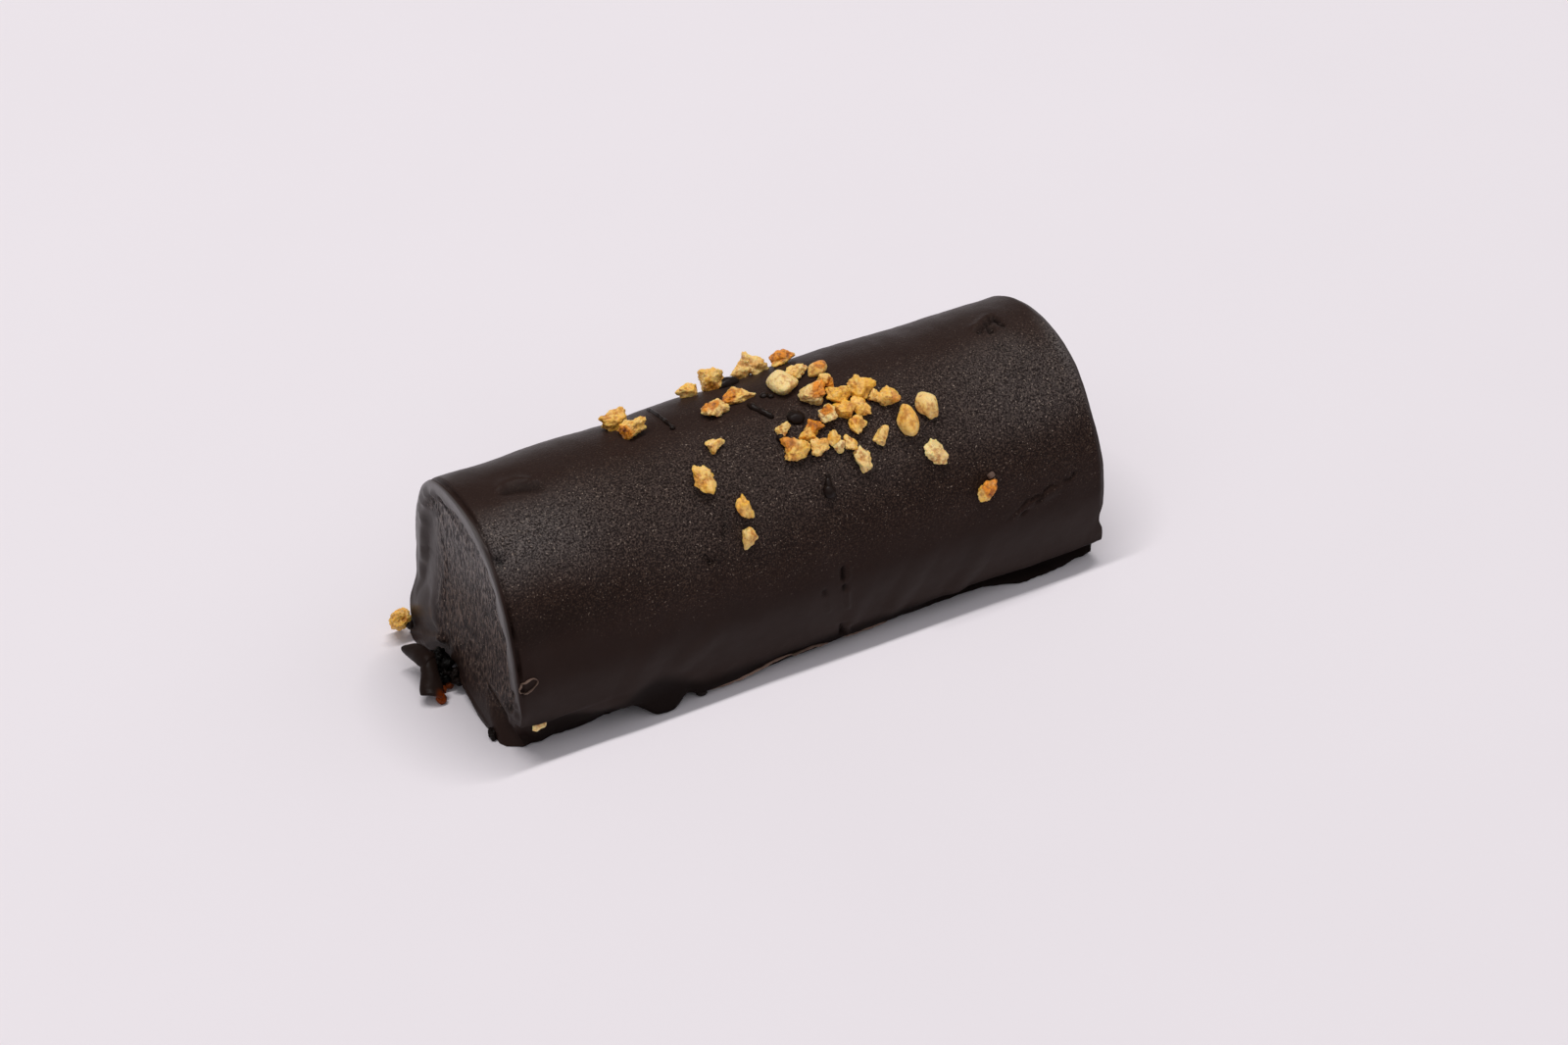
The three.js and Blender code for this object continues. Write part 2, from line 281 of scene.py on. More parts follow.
def side_columns(x, side):
    """Columns of (y, z) from the middle of the base to just below the crown, for rings at x."""
    body = body_at(x)
    name, shape = ("near", NEAR_FOOT) if side < 0 else ("far", FAR_FOOT)
    lower, crown = LOWER_COLUMNS[name], CROWN_COLUMNS[name]
    along_edge = [Vector((v / RAGGED_SIZE, side * 3, 0)) for v in x]
    edge_noise = np.array([noise.fractal(place, 1.0, 2.0, RAGGED_DETAIL) for place in along_edge])
    foot = shape["half_width"] + swell(x, shape["swells"]) + RAGGED * edge_noise
    groove = swell(x, shape["grooves"])
    lift = swell(x, shape["lifts"])
    arris = shape["slant_height"] + swell(x, shape["slant_heights"])
    slant = (np.clip(swell(x, shape["slants"]), 0, 1), arris)
    top = lift + FOOT_HEIGHT
    columns = []
    for i in range(1, BASE_COLUMNS + 1):
        y = (foot - EDGE_RADIUS) * i / BASE_COLUMNS
        raised = lift * smoothstep(y, foot - LIFT_START, foot - LIFT_FULL)
        columns.append((y, np.maximum(raised, end_arch(x, side * y))))
    for i in range(1, EDGE_COLUMNS + 1):
        turn = math.radians(90 * i / EDGE_COLUMNS)
        y = foot - EDGE_RADIUS + EDGE_RADIUS * math.sin(turn)
        z = lerp(lift, top, (1 - math.cos(turn)) * EDGE_RISE)
        columns.append((y, np.maximum(z, end_arch(x, side * y))))
    start = lerp(lift, top, EDGE_RISE)
    for i in range(1, lower + 1):
        z = lerp(start, body["waist"], (i / lower) ** LOWER_CROWDING)
        columns.append((lower_width(body, foot, groove, slant, start, z), z))
    rise = body["crest"] - body["waist"]
    for i in range(1, crown):
        turn = math.radians(90 * i / crown)
        across = (math.cos(turn) / body["half_width"]) ** body["power"]
        up = (math.sin(turn) / rise) ** body["power"]
        reach = (across + up) ** (-1 / body["power"])
        columns.append((reach * math.cos(turn), body["waist"] + reach * math.sin(turn)))
    return [(side * y + lean_at(body, z), z) for y, z in columns]


def ring_stations():
    ends = END_LENGTH * (np.arange(END_ROWS) / END_ROWS) ** END_CROWDING
    middle = np.linspace(NEAR_END + END_LENGTH, FAR_END - END_LENGTH, MIDDLE_ROWS)
    return np.concatenate([NEAR_END + ends, middle, (FAR_END - ends)[::-1]])


def set_back(end, y, z):
    """How far a rim lies behind its end plane; negative where it stands out."""
    back = 0 * y
    for (at_y, reach_y), (at_z, reach_z), depth in FAR_SET_BACKS if end > 0 else NEAR_SET_BACKS:
        back = back + depth * bell(y - at_y, reach_y) * bell(z - at_z, reach_z)
    if end < 0:
        for step, (at_z, reach_z), depth in NEAR_STEPS_BACK:
            back = back + depth * smoothstep(y, *step) * bell(z - at_z, reach_z)
        back = back - NEAR_FOOT_OUT * bell(z, 7) * smoothstep(y, 5, -2) * smoothstep(y, -15, -12.2)
    return back


def lip_strength(z):
    return smoothstep(z, *LIP_HEIGHTS)


def push_out(grid, distance):
    """Moves points straight out from the log's middle line by a distance."""
    dy, dz = grid[..., 1], grid[..., 2] - CENTRE_Z
    k = 1 + distance / np.maximum(np.hypot(dy, dz), 1)
    return np.stack([grid[..., 0], dy * k, CENTRE_Z + dz * k], -1)


def corner_rounding(corner, inset):
    """How far a rim is drawn in where the side turns into the end."""
    return corner["round"] * (1 - smoothstep(inset, -CORNER_OVERLAP, corner["reach"])) ** 2


def side_grid():
    """Rings of points of the side, closed round the log, without relief."""
    x = ring_stations()
    body = body_at(x)
    crest = (lean_at(body, body["crest"]), body["crest"])
    middle = (np.zeros_like(x), end_arch(x, 0))
    columns = [middle, *side_columns(x, -1), crest, *side_columns(x, 1)[::-1]]
    y = np.stack([c[0] for c in columns], 1)
    z = np.stack([c[1] for c in columns], 1)
    along = np.repeat(x[:, None], y.shape[1], 1)
    grid = np.stack([along, y, z], -1)

    inset = np.minimum(along - NEAR_END, FAR_END - along)
    end = np.where(along - NEAR_END < FAR_END - along, -1, 1)
    uneven = 0.75 + 0.6 * noise_at(grid, 2.2, 11)
    crease = NEAR_CREASE["depth"] * uneven * bell(inset - NEAR_CREASE["inset"], NEAR_CREASE["reach"])
    crease *= smoothstep(z, *NEAR_CREASE["heights"])
    near_drawn_in = crease + corner_rounding(NEAR_CORNER, inset)
    drawn_in = np.where(end < 0, near_drawn_in, corner_rounding(FAR_CORNER, inset))
    grid = push_out(grid, -drawn_in * lip_strength(z))

    low_corner = (1 - smoothstep(inset, 0, 4.2)) ** 2 * smoothstep(z, 10, 4) * smoothstep(z, 0.3, 2)
    grid[..., 1] += np.where(end < 0, LOW_CORNER_INWARD * low_corner, 0) * smoothstep(y, -8, -13)

    near, far = set_back(-1, y, z), set_back(1, y, z)
    shift = np.where(end < 0, near, far) * (1 - smoothstep(inset, 0, SET_BACK_REACH))
    grid[..., 0] -= end * shift
    return grid


def lip_profile(lip, inset):
    """Height beyond the rim, by distance inside it: a rounded lip, then the sunken face."""
    up = lip["rise"] * smoothstep(inset, -LIP_OVERLAP, lip["crest"])
    down = (lip["rise"] + lip["depth"]) * smoothstep(inset, lip["flat"], lip["fall"])
    return up - down


def cap_grid(end, rim, rows):
    """Rows of an end face from the rim to the middle, closer together under the lip."""
    k = np.arange(1, rows + 1) / (rows + 1)
    share = (k**CAP_CROWDING)[:, None]
    dy, dz = rim[None, :, 1], rim[None, :, 2] - CENTRE_Z
    y, z = dy * (1 - share), CENTRE_Z + dz * (1 - share)
    inset = np.hypot(dy, dz) * share
    plane = NEAR_END if end < 0 else FAR_END
    base = lerp(rim[None, :, 0], plane, smoothstep(inset, 0, FACE_BLEND))
    flat = np.stack([0 * y, y, z], -1)
    waves = LIP_WAVE_DEPTH * noise_at(flat, LIP_WAVE_SIZE, 31) * smoothstep(inset, 0, 0.8)
    out = lip_profile(NEAR_LIP if end < 0 else FAR_LIP, inset + waves) * lip_strength(z)
    return np.stack([base + end * out, y, z], -1), inset


def coat_grid():
    side = side_grid()
    near, near_inset = cap_grid(-1, side[0], NEAR_CAP_ROWS)
    far, far_inset = cap_grid(1, side[-1], FAR_CAP_ROWS)
    grid = np.concatenate([near[::-1], side, far])
    inset = np.concatenate([near_inset[::-1], np.zeros(side.shape[:2]), far_inset])
    return grid, inset


def grid_normals(grid):
    """Outward unit normals of a grid that is closed round its second direction."""
    along = np.gradient(grid, axis=0)
    around = np.roll(grid, -1, 1) - np.roll(grid, 1, 1)
    normal = np.cross(along, around)
    length = np.linalg.norm(normal, axis=-1, keepdims=True)
    return normal / np.maximum(length, 1e-9)


# ======== marks on the coat
# Each mark is a soft ridge or groove along a line: places, half width, height at each end.
SIDE_MARKS = [
    # the coat swells round the lumps among the nuts
    ([(2.8, 75.3), (4.1, 73.8)], 2.4, (0.3, 0.3)),
    # grooves and small bumps lower on the side
    ([(-12.5, 50.5), (-13.2, 45), (-13.9, 40.3)], 0.6, (-0.35, -0.6)),
    ([(-11.6, 49), (-12.4, 44)], 0.9, (0.2, 0.25)),
    ([(-16.6, 35.2), (-15.9, 32.5)], 0.8, (0.35, 0.5)),
    ([(-17.4, 34.5), (-16.8, 31.2)], 0.8, (-0.4, -0.7)),
    # notches on a line round the log
    ([(4.8, 6.3), (4.7, 1.1)], 0.62, (-0.6, -0.6)),
    ([(5.5, 6.3), (5.5, 1.1)], 0.6, (0.35, 0.25)),
    ([(4.8, -3.2), (4.8, -4)], 0.6, (-0.6, -0.6)),
    ([(5.3, -6.6), (5.3, -14.6)], 0.5, (0.35, 0.4)),
    ([(4.4, -23.5), (4.8, -29.5)], 0.6, (-0.5, -0.8)),
    ([(5.4, -24.5), (5.8, -31.5)], 0.9, (0.3, 0.5)),
    ([(1.3, -2.3), (1.4, -3.6)], 0.6, (-0.4, -0.35)),
    ([(1.9, -6.5), (2.1, -13.4)], 0.55, (0.12, 0.2)),
    # a caret-shaped scar near the far end: two grooves, a rim outside them and lumps between
    ([(43.4, 93.6), (41.6, 91), (39.7, 87.8)], 0.65, (-0.6, -1.1)),
    ([(42.9, 95.6), (41, 93), (39.4, 91)], 0.8, (0.35, 0.5)),
    ([(43.4, 93.6), (43.7, 90), (43.7, 87.4)], 0.7, (-0.8, -0.9)),
    ([(41.4, 87.4), (41.3, 86.3)], 0.8, (-1, -1)),
    ([(40.4, 88.9), (40.3, 87)], 0.65, (0.6, 0.5)),
    ([(43, 86), (42.4, 82)], 0.8, (0.3, 0.1)),
    ([(39.9, 76.2), (40.4, 77.8), (41.2, 77.4), (41.6, 74.2)], 0.7, (-0.35, -0.4)),
    # a ragged crack near the far end
    ([(33.5, 1.5), (35, 4.5), (36.2, 6.2), (37.6, 9.2)], 0.4, (-0.05, -0.35)),
    ([(36.4, 2.6), (37.2, 3.8)], 0.4, (-0.4, -0.35)),
    ([(38.9, 6.6), (39.8, 6.9)], 0.4, (-0.35, -0.4)),
    ([(38.2, 8.8), (39.2, 9.6), (40.2, 9)], 0.42, (-0.45, -0.4)),
    ([(40.6, 10.8), (41.8, 12.3), (42.6, 11.4)], 0.42, (-0.4, -0.25)),
    ([(44.2, 13), (45.4, 12.2), (46.2, 14.4)], 0.42, (-0.25, -0.4)),
    ([(35.8, 4), (38.5, 7.4), (42, 9)], 1.4, (0.15, 0.2)),
    # a crescent dent with a rounded upper lip and a low bump beneath it, near the near end
    ([(-43.2, 89.6), (-42.2, 91.8), (-40.2, 91.6), (-38.8, 88.9)], 1.1, (0.3, 0.4)),
    ([(-42.6, 86.3), (-40.6, 86), (-38.1, 84.1)], 1.7, (-0.4, -0.4)),
    ([(-42.9, 79.5), (-41.5, 78.6)], 3.2, (0.7, 0.6)),
    # dimple and bump beside the near rim
    ([(-48.6, 65), (-48.2, 63.6)], 1.8, (0.8, 0.8)),
    ([(-48.9, 60.6), (-48.5, 59.6)], 0.9, (-0.8, -0.7)),
    # faint drapery low on the side
    ([(-21.8, 8), (-24.5, 3.5), (-27.7, -1.2), (-32.6, -23.1)], 3.4, (0.1, 0.4)),
    ([(-16.5, -2.8), (-22.5, -13.4)], 2.6, (0.1, 0.3)),
    ([(20.9, 2.2), (17.5, -9), (13.6, -24.3)], 2.8, (0.1, 0.4)),
    ([(9.6, -4.1), (5.9, -22.4)], 2.4, (0.1, 0.3)),
    ([(29.7, -9), (24.9, -26)], 2.8, (0.1, 0.4)),
    # the hollow inside the flake beside the near rim
    ([(-49.4, -1.2), (-48, 1.2)], 0.7, (-0.15, -0.05)),
    # low swell above the last nut, where it slid
    ([(31, 30.5), (32, 25.2)], 1.7, (0.2, 0.5)),
]

NEAR_FACE_MARKS = [
    # thin stacked folds beside the far part of the lip
    ([(8.2, 33.6), (6.4, 32.6), (3, 31.6), (-0.6, 30.6)], 0.8, (0.4, 0.1)),
    ([(11.5, 32.5), (9.5, 30), (7.3, 28.7), (4.9, 25.7)], 0.75, (0.5, 0.05)),
    ([(13.3, 30), (12, 27.5), (10.2, 24)], 0.7, (0.45, 0.05)),
    ([(14.5, 27), (13.8, 23.5), (12.5, 20.5)], 0.7, (0.4, 0.05)),
    ([(14.8, 18.4), (11.9, 19.7), (9.7, 20.2)], 0.35, (-0.25, -0.1)),
    # soft ridge between the smooth far part and the grainy middle
    ([(8.8, 27.7), (7.9, 23.3), (6.9, 20.5), (8.1, 15.8), (8.6, 11.5)], 1, (0.1, 0.25)),
    # the drapery of folds that gathers at the foot
    ([(10.6, 15), (10.4, 12), (9.6, 8.6), (7.6, 6.4)], 1.5, (0.05, 0.5)),
    ([(7.4, 6.4), (9.4, 4.6), (11.9, 2.1)], 1.1, (0.6, 0.6)),
    ([(3.2, 8.6), (4, 6.6), (4.6, 4.5)], 1, (0.2, 0.6)),
    ([(-16.8, 8.4), (-14.2, 5.2), (-12.3, 3.6)], 1.2, (0.45, 0.1)),
    # soft dents and a small hook where the lip breaks up low down
    ([(-16.4, 12.6), (-15.8, 11.6)], 0.9, (-0.4, -0.3)),
    ([(-16.9, 10.4), (-16, 9.9)], 0.8, (0.35, 0.25)),
    ([(-15.1, 9), (-14.5, 8)], 1.1, (-0.4, -0.3)),
    ([(-13.8, 21.5), (-12.9, 20.9)], 1, (-0.3, -0.15)),
    ([(-11.2, 27.4), (-10.4, 26.6)], 1.1, (-0.25, -0.1)),
    ([(2.2, 2.6), (-0.7, 2.3), (-3.4, 1.6), (-8, 0.8)], 0.7, (0.35, 0.2)),
]
NEAR_BULGES = [
    ((12, 11), (5.5, 14), 0, 0.7),
    ((6, 8), (2.5, 6), -0.5, 0.4),
]
FAR_BULGES = [
    ((-8, 12), (6, 12), 0, 0.9),
    ((7, 18), (3, 14), 0.2, 0.6),
]



def distance_to_line(points, line):
    """Distance from each point to a chain of points, and how far along the chain it is nearest."""
    best = np.full(len(points), np.inf)
    along = np.zeros(len(points))
    steps = len(line) - 1
    for i in range(steps):
        a, b = np.asarray(line[i], float), np.asarray(line[i + 1], float)
        step = b - a
        k = np.clip((points - a) @ step / (step @ step), 0, 1)
        distance = np.linalg.norm(points - a - k[:, None] * step, axis=1)
        closer = distance < best
        best = np.where(closer, distance, best)
        along = np.where(closer, (i + k) / steps, along)
    return best, along


def marks_height(points, marks, place):
    """Height of the marks at each point; place turns a spot of a mark into a point."""
    height = np.zeros(len(points))
    for line, width, (first, last) in marks:
        distance, along = distance_to_line(points, [place(spot) for spot in line])
        height += lerp(first, last, along) * bell(distance, width)
    return height


def bulges_height(points, bulges):
    height = np.zeros(len(points))
    for (y, z), (reach_y, reach_z), lean, out in bulges:
        above = points[:, 2] - z
        height += out * bell(points[:, 1] - y - lean * above, reach_y) * bell(above, reach_z)
    return height


def face_point(spot):
    return np.array((0, *spot))


def turn_of(points):
    """Angle round the log from -90 to 270 degrees."""
    return (np.degrees(np.arctan2(points[..., 2] - CENTRE_Z, -points[..., 1])) + 90) % 360 - 90


class Side:
    """Finds the point of the coat's side at (x, turn)."""

    def __init__(self, points, faces):
        self.tree = BVHTree.FromPolygons([tuple(p) for p in points], faces)

    def hit(self, spot):
        x, turn = spot
        angle = math.radians(turn)
        out = Vector((0, -math.cos(angle), math.sin(angle)))
        start = Vector((x, 0, CENTRE_Z)) + out * 60
        place, normal, _, _ = self.tree.ray_cast(start, -out)
        return place, normal

    def point(self, spot):
        return np.array(self.hit(spot)[0])


def coat_faces(rows, columns):
    """Quads of the coat's rings, with a fan at each end to the last two points."""
    faces = [(a, d, c, b) for a, b, c, d in ring_quads(rows, columns)]
    first = rows * columns
    for c in range(columns):
        after = (c + 1) % columns
        faces.append((first, c, after))
        faces.append((first + 1, first - columns + after, first - columns + c))
    return faces


def with_middles(values):
    """Values of a grid in one row, with the mean of its first and of its last ring at the end."""
    flat = values.reshape(-1, *values.shape[2:])
    return np.concatenate([flat, [values[0].mean(0), values[-1].mean(0)]])


# ======== the coat with its relief and masks
FACE_FADE = (0, 1.2)
# Depth at which a sunk mark gets its full painted shade.
FULL_DEPTH = 0.6
FREE_HEIGHTS = (0.3, 2.0)
# Unevenness of the whole coat: (height, size, seed).
UNEVENNESS = [(0.16, 9, 1), (0.07, 2.8, 2), (0.022, 1, 3)]


def marks_relief(grid, inset, faces, near_rows, far_rows):
    """Height of the marks and bulges above the plain form."""
    rows, columns = grid.shape[:2]
    relief = np.zeros((rows, columns))
    side_rows = ~(near_rows | far_rows)
    side = Side(with_middles(grid), faces)
    height = marks_height(grid[side_rows].reshape(-1, 3), SIDE_MARKS, side.point)
    relief[side_rows] = height.reshape(-1, columns)
    for cap_rows, marks, bulges in ((near_rows, NEAR_FACE_MARKS, NEAR_BULGES), (far_rows, [], FAR_BULGES)):
        points = grid[cap_rows].reshape(-1, 3)
        height = marks_height(points * (0, 1, 1), marks, face_point) + bulges_height(points, bulges)
        fade = smoothstep(inset[cap_rows].reshape(-1), *FACE_FADE)
        relief[cap_rows] = (height * fade).reshape(-1, columns)
    return relief


def side_masks(grid):
    """Grain, bloom and painted shade of the side, by millimetres along it and degrees round it."""
    x, turn = grid[..., 0], turn_of(grid)
    near_share = smoothstep(x, -18, -46)
    patchy = 5 * noise_at(grid, 9, 21)
    from_rim = smoothstep(np.minimum(x - NEAR_END, FAR_END - x), 0.2, 1)
    smooth_crest = 1 - 0.7 * smoothstep(turn, 70, 84) * smoothstep(x, -30, -44)

    over_crest = 1 - 0.85 * smoothstep(turn, 70, 92)
    grain = smoothstep(turn - 18 * near_share + patchy, -6, 48) * over_crest * smooth_crest * from_rim

    dip = 8 * smoothstep(x, -10, 20) * smoothstep(turn, 50, 34)
    above = lerp(turn - 34, (turn - 48.5) * 1.75, near_share) + patchy - dip
    crest = turn - 2 * smoothstep(x, 30, 42) + 5 * smoothstep(x, 43, 47)
    upper = smoothstep(above, -16, 24) * (1 - 0.93 * smoothstep(crest, 69, 86)) * smooth_crest
    along = 0.28 + 0.62 * bell(x + 46, 20) + 0.25 * smoothstep(x, 25, 38)
    low_down = 0.13 * bell(turn + 13, 17)
    by_far_rim = 0.55 * bell(x - 50.2, 2) * bell(turn - 73, 24)
    at_back = (0.14 + 0.2 * smoothstep(x, -8, -30)) * smoothstep(turn, 95, 114)
    bloom = (upper * along + low_down + by_far_rim + at_back) * lerp(0.4, 1, from_rim)

    # Painted shade: the bevel low on the side, above the foot, is darkened, and so is a faint band round the
    # lower side.
    shaded_bevel_turn = 8 * smoothstep(x, -33, -47) + 9 * bell(x + 28, 9) - 24
    foot = smoothstep(shaded_bevel_turn - np.minimum(turn, 180 - turn), 0, 7) * smoothstep(x, -50.5, -45)
    shade_band = bell(turn - 31, 17) * (1 + near_share)
    return grain, bloom, np.maximum(0.9 * foot, 0.2 * shade_band)


def face_masks(y, height, inset, near, far):
    """Grain and bloom of the end faces: a grainy middle, and a smooth pale part by the far lip."""
    smooth_part = smoothstep(y - 0.07 * (height - 20), 7.5, 11) * smoothstep(height, 30, 26) * near
    middle = smoothstep(inset, 1.8, 3.4) * smoothstep(height, 2, 9)
    grain = middle * (1 - smooth_part) * np.where(far, 0.6, 1)
    lip = smoothstep(inset, 2.6, 1) * smoothstep(height, 6, 21)
    top = smoothstep(height, 17, 29)
    bloom = (0.2 + 0.36 * smooth_part + 0.97 * lip + 0.42 * top) * smoothstep(height, -2, 14)
    return grain, bloom


def coat_mesh():
    plain, inset = coat_grid()
    rows, columns = plain.shape[:2]
    faces = coat_faces(rows, columns)
    near_rows = np.arange(rows) < NEAR_CAP_ROWS
    far_rows = np.arange(rows) >= rows - FAR_CAP_ROWS
    relief = marks_relief(plain, inset, faces, near_rows, far_rows)
    # Sunk marks are darkened with painted shade, more the deeper they are.
    grooves = np.clip(-relief / FULL_DEPTH, 0, 1)
    height = plain[..., 2]
    free = smoothstep(height, *FREE_HEIGHTS)
    for rise, size, seed in UNEVENNESS:
        relief += rise * noise_at(plain, size, seed) * free
    grid = plain + grid_normals(plain) * relief[..., None]

    near, far = near_rows[:, None], far_rows[:, None]
    caps = near | far
    grain, bloom, dark = side_masks(grid)
    face_grain, face_bloom = face_masks(grid[..., 1], height, inset, near, far)
    masks = {
        "grain": np.where(caps, face_grain, grain),
        "bloom": np.where(caps, face_bloom, bloom),
        "face": caps * np.ones_like(height),
        # Painted shade: sunk marks everywhere, and on the side the bevel above the foot and a faint low
        # band.
        "painted_shade": np.maximum(grooves, np.where(caps, 0, dark)),
    }
    points = with_middles(grid)
    attributes = {key: with_middles(mask) for key, mask in masks.items()}
    return make_mesh("chocolate_coat", points, faces, attributes), Side(points, faces)


# ======== drips and ridges
# Thin ridges of chocolate: places on the side, half width, height where each starts and ends, and
# how pale it is where the chocolate is thin; along the lifted foot edge the pale is a painted highlight.
RIDGES = [
    # a straight one on the crest, left of the nuts
    ([(-13.7, 113), (-14, 102), (-13.9, 91)], 0.33, (0.35, 0.5), 0),
    # one in front of the nuts
    ([(-0.9, 91), (-0.6, 87), (0.1, 83.5), (1, 79)], 0.5, (0.5, 0.7), 0),
    # the thin upper end of a drop that ran down
    ([(4.95, 51), (4.85, 49), (4.7, 46.5)], 0.42, (0.25, 0.6), 0),
    # the rims of an open flake like a small lens, low beside the near rim
    (
        [(-49.8, -1.6), (-49.9, 1.4), (-49.2, 3.5), (-48.3, 4.8), (-47.5, 4.7), (-46.9, 3)],
        0.12, (0.3, 0.35), 0.3,
    ),
    (
        [(-49.8, -1.6), (-49.2, -2.2), (-48.5, -1.4), (-47.7, -0.1), (-47.1, 1.6), (-46.9, 3)],
        0.12, (0.35, 0.35), 0.3,
    ),
    # the thin edge of the coat where it lifts off the foot, painted pale as a highlight along it
    (
        [(-18.9, -38), (-15.7, -37.6), (-13, -36.8), (-10, -35.6), (-6.5, -35.2), (-3, -36)],
        0.15, (0.3, 0.3), 0.7,
    ),
    ([(-3.4, -36.4), (-1.6, -35.6), (0.6, -35), (3.2, -36.2)], 0.17, (0.4, 0.3), 0.4),
    ([(5.9, -37), (8.5, -37.4), (11.5, -37.8), (14, -38)], 0.15, (0.3, 0.3), 0.6),
    # a pale drop beside the lowest nut
    ([(31.2, 28.6), (31.5, 26.4)], 0.55, (0.5, 0.7), 0.3),
]
# Beads of chocolate: place on the side or in space, length, width and height, and turn.
BEADS = [
    ((3.9, 75.1), (2.9, 2.3, 1.7), -25),
    ((0.2, 69.8), (1.4, 1.5, 1.3), 0),
    ((2.2, 92.2), (1.5, 1.2, 0.8), 20),
    ((3, 90.2), (1.1, 1, 0.8), 0),
    ((0, 84), (1, 1, 1), 0),
    ((4.65, 46), (1.25, 2.4, 1.2), 0),
    ((4.4, 43.6), (1.95, 2.3, 1.7), 0),
    ((-0.2, 8.4, 35), (4.6, 2.2, 2.1), 0),
    ((-51.6, 17.2, 2.5), (1.3, 2, 1.7), 0),
    ((-13.9, 90.4), (0.9, 0.9, 0.8), 0),
    ((39.5, 87.2), (0.9, 0.8, 0.6), 0),
    ((-19.3, -17.6, 0.6), (1.7, 1.1, 1.2), -20),
    ((-2.9, -16.3, 0.9), (1.8, 1.2, 1.3), 10),
    ((-0.8, -16.2, 1.1), (1.4, 1, 1.2), -10),
]
RIDGE_STEPS, RIDGE_SIDES = 40, 16
RIDGE_UNEVEN, BEAD_UNEVEN, UNEVEN_SIZE = 0.45, 0.12, 0.9
THINNEST = 0.05
BEAD_LIFT = 0.12
BEAD_LEVELS = 4


def axes_at(side, spot, spin):
    """Directions along, across and out of the coat at a place, turned by an angle.
    A place of three numbers is a point in space, facing up."""
    place, normal = side.hit(spot) if len(spot) == 2 else (spot, (0, 0, 1))
    out = np.array(normal)
    along = np.array([1.0, 0, 0]) - out * out[0]
    along /= np.linalg.norm(along)
    across = np.cross(out, along)
    angle = math.radians(spin)
    first = along * math.cos(angle) + across * math.sin(angle)
    return np.stack([first, np.cross(out, first), out]), np.array(place)


def tapered(share):
    """Full in the middle and closing to a thin end at both ends, by share of the length."""
    return np.maximum(np.clip(1 - np.abs(2 * share - 1) ** 5, 0, 1) ** 0.5, THINNEST)


def ridge(side, places, half_width, heights, seed):
    """A tube along the coat, half sunk in it, with an uneven width."""
    hits = [side.hit(spot) for spot in spline(places, RIDGE_STEPS)]
    middle = np.array([hit[0] for hit in hits])
    out = np.array([hit[1] for hit in hits])
    across = np.cross(out, np.gradient(middle, axis=0))
    across /= np.linalg.norm(across, axis=1, keepdims=True)
    share = np.linspace(0, 1, RIDGE_STEPS)
    uneven = 1 + RIDGE_UNEVEN * noise_at(middle, UNEVEN_SIZE, seed)
    wide = (half_width * uneven * tapered(share))[:, None]
    high = (lerp(heights[0], heights[1], share) * uneven * tapered(share))[:, None]
    rings = []
    for turn in np.arange(RIDGE_SIDES) * 2 * math.pi / RIDGE_SIDES:
        rings.append(middle + across * wide * math.cos(turn) + out * high * math.sin(turn))
    return np.stack(rings, 1).reshape(-1, 3)


def bead(side, directions, spot, size, spin, seed):
    axes, place = axes_at(side, spot, spin)
    points = directions * np.array(size) / 2
    points = points * (1 + BEAD_UNEVEN * noise_at(points, UNEVEN_SIZE, seed))[:, None]
    return place + axes[2] * size[2] * BEAD_LIFT + points @ axes


def drips_piece(side):
    pile = Pile()
    for seed, (places, half_width, heights, pale) in enumerate(RIDGES):
        tube = ridge(side, places, half_width, heights, seed)
        pile.add(tube, tube_faces(RIDGE_STEPS, RIDGE_SIDES), pale=pale)
    directions, triangles = icosphere(BEAD_LEVELS)
    for seed, (spot, size, spin) in enumerate(BEADS):
        pile.add(bead(side, directions, spot, size, spin, seed), triangles, pale=0)
    return pile.mesh("chocolate_drips")


# ======== nuts
NUT_LEVELS = 5
NUT_LIFT = 0.36
# A chopped piece: how many flat faces, how sharp their edges are, its roughness and scooped places.
CHOPPED = {
    "half": {"planes": 18, "sharpness": 7, "rough": 0.02, "scoops": 0},
    "chunk": {"planes": 12, "sharpness": 13, "rough": 0.12, "scoops": 3},
    "crumb": {"planes": 10, "sharpness": 11, "rough": 0.13, "scoops": 2},
}
PLANE_TRIES, PLANE_DISTANCES = 8, (0.62, 1.0)
SCOOP_DEPTHS, SCOOP_DEGREES = (0.12, 0.32), (28, 50)
# Lumps on the broken faces: (height, size); the low places between them get painted shade.
LUMPS = [(1.4, 1.2), (1.0, 0.55), (0.8, 0.28)]
LUMP_SHADE = 1.2
TONE_SPREAD = 0.35
# The way the nuts' outlines are described: to the right, up, and out to the front.
OUT_RIGHT = np.array([0.868, -0.497, 0.0])
OUT_UP = np.array([0.303, 0.529, 0.793])
OUT_FRONT = np.cross(OUT_RIGHT, OUT_UP)
LOBE_SHARE, LOBE_WIDTH = 0.75, 1.6
SKIN_UNEVEN, SKIN_UNEVEN_SIZE = 0.35, 1.2
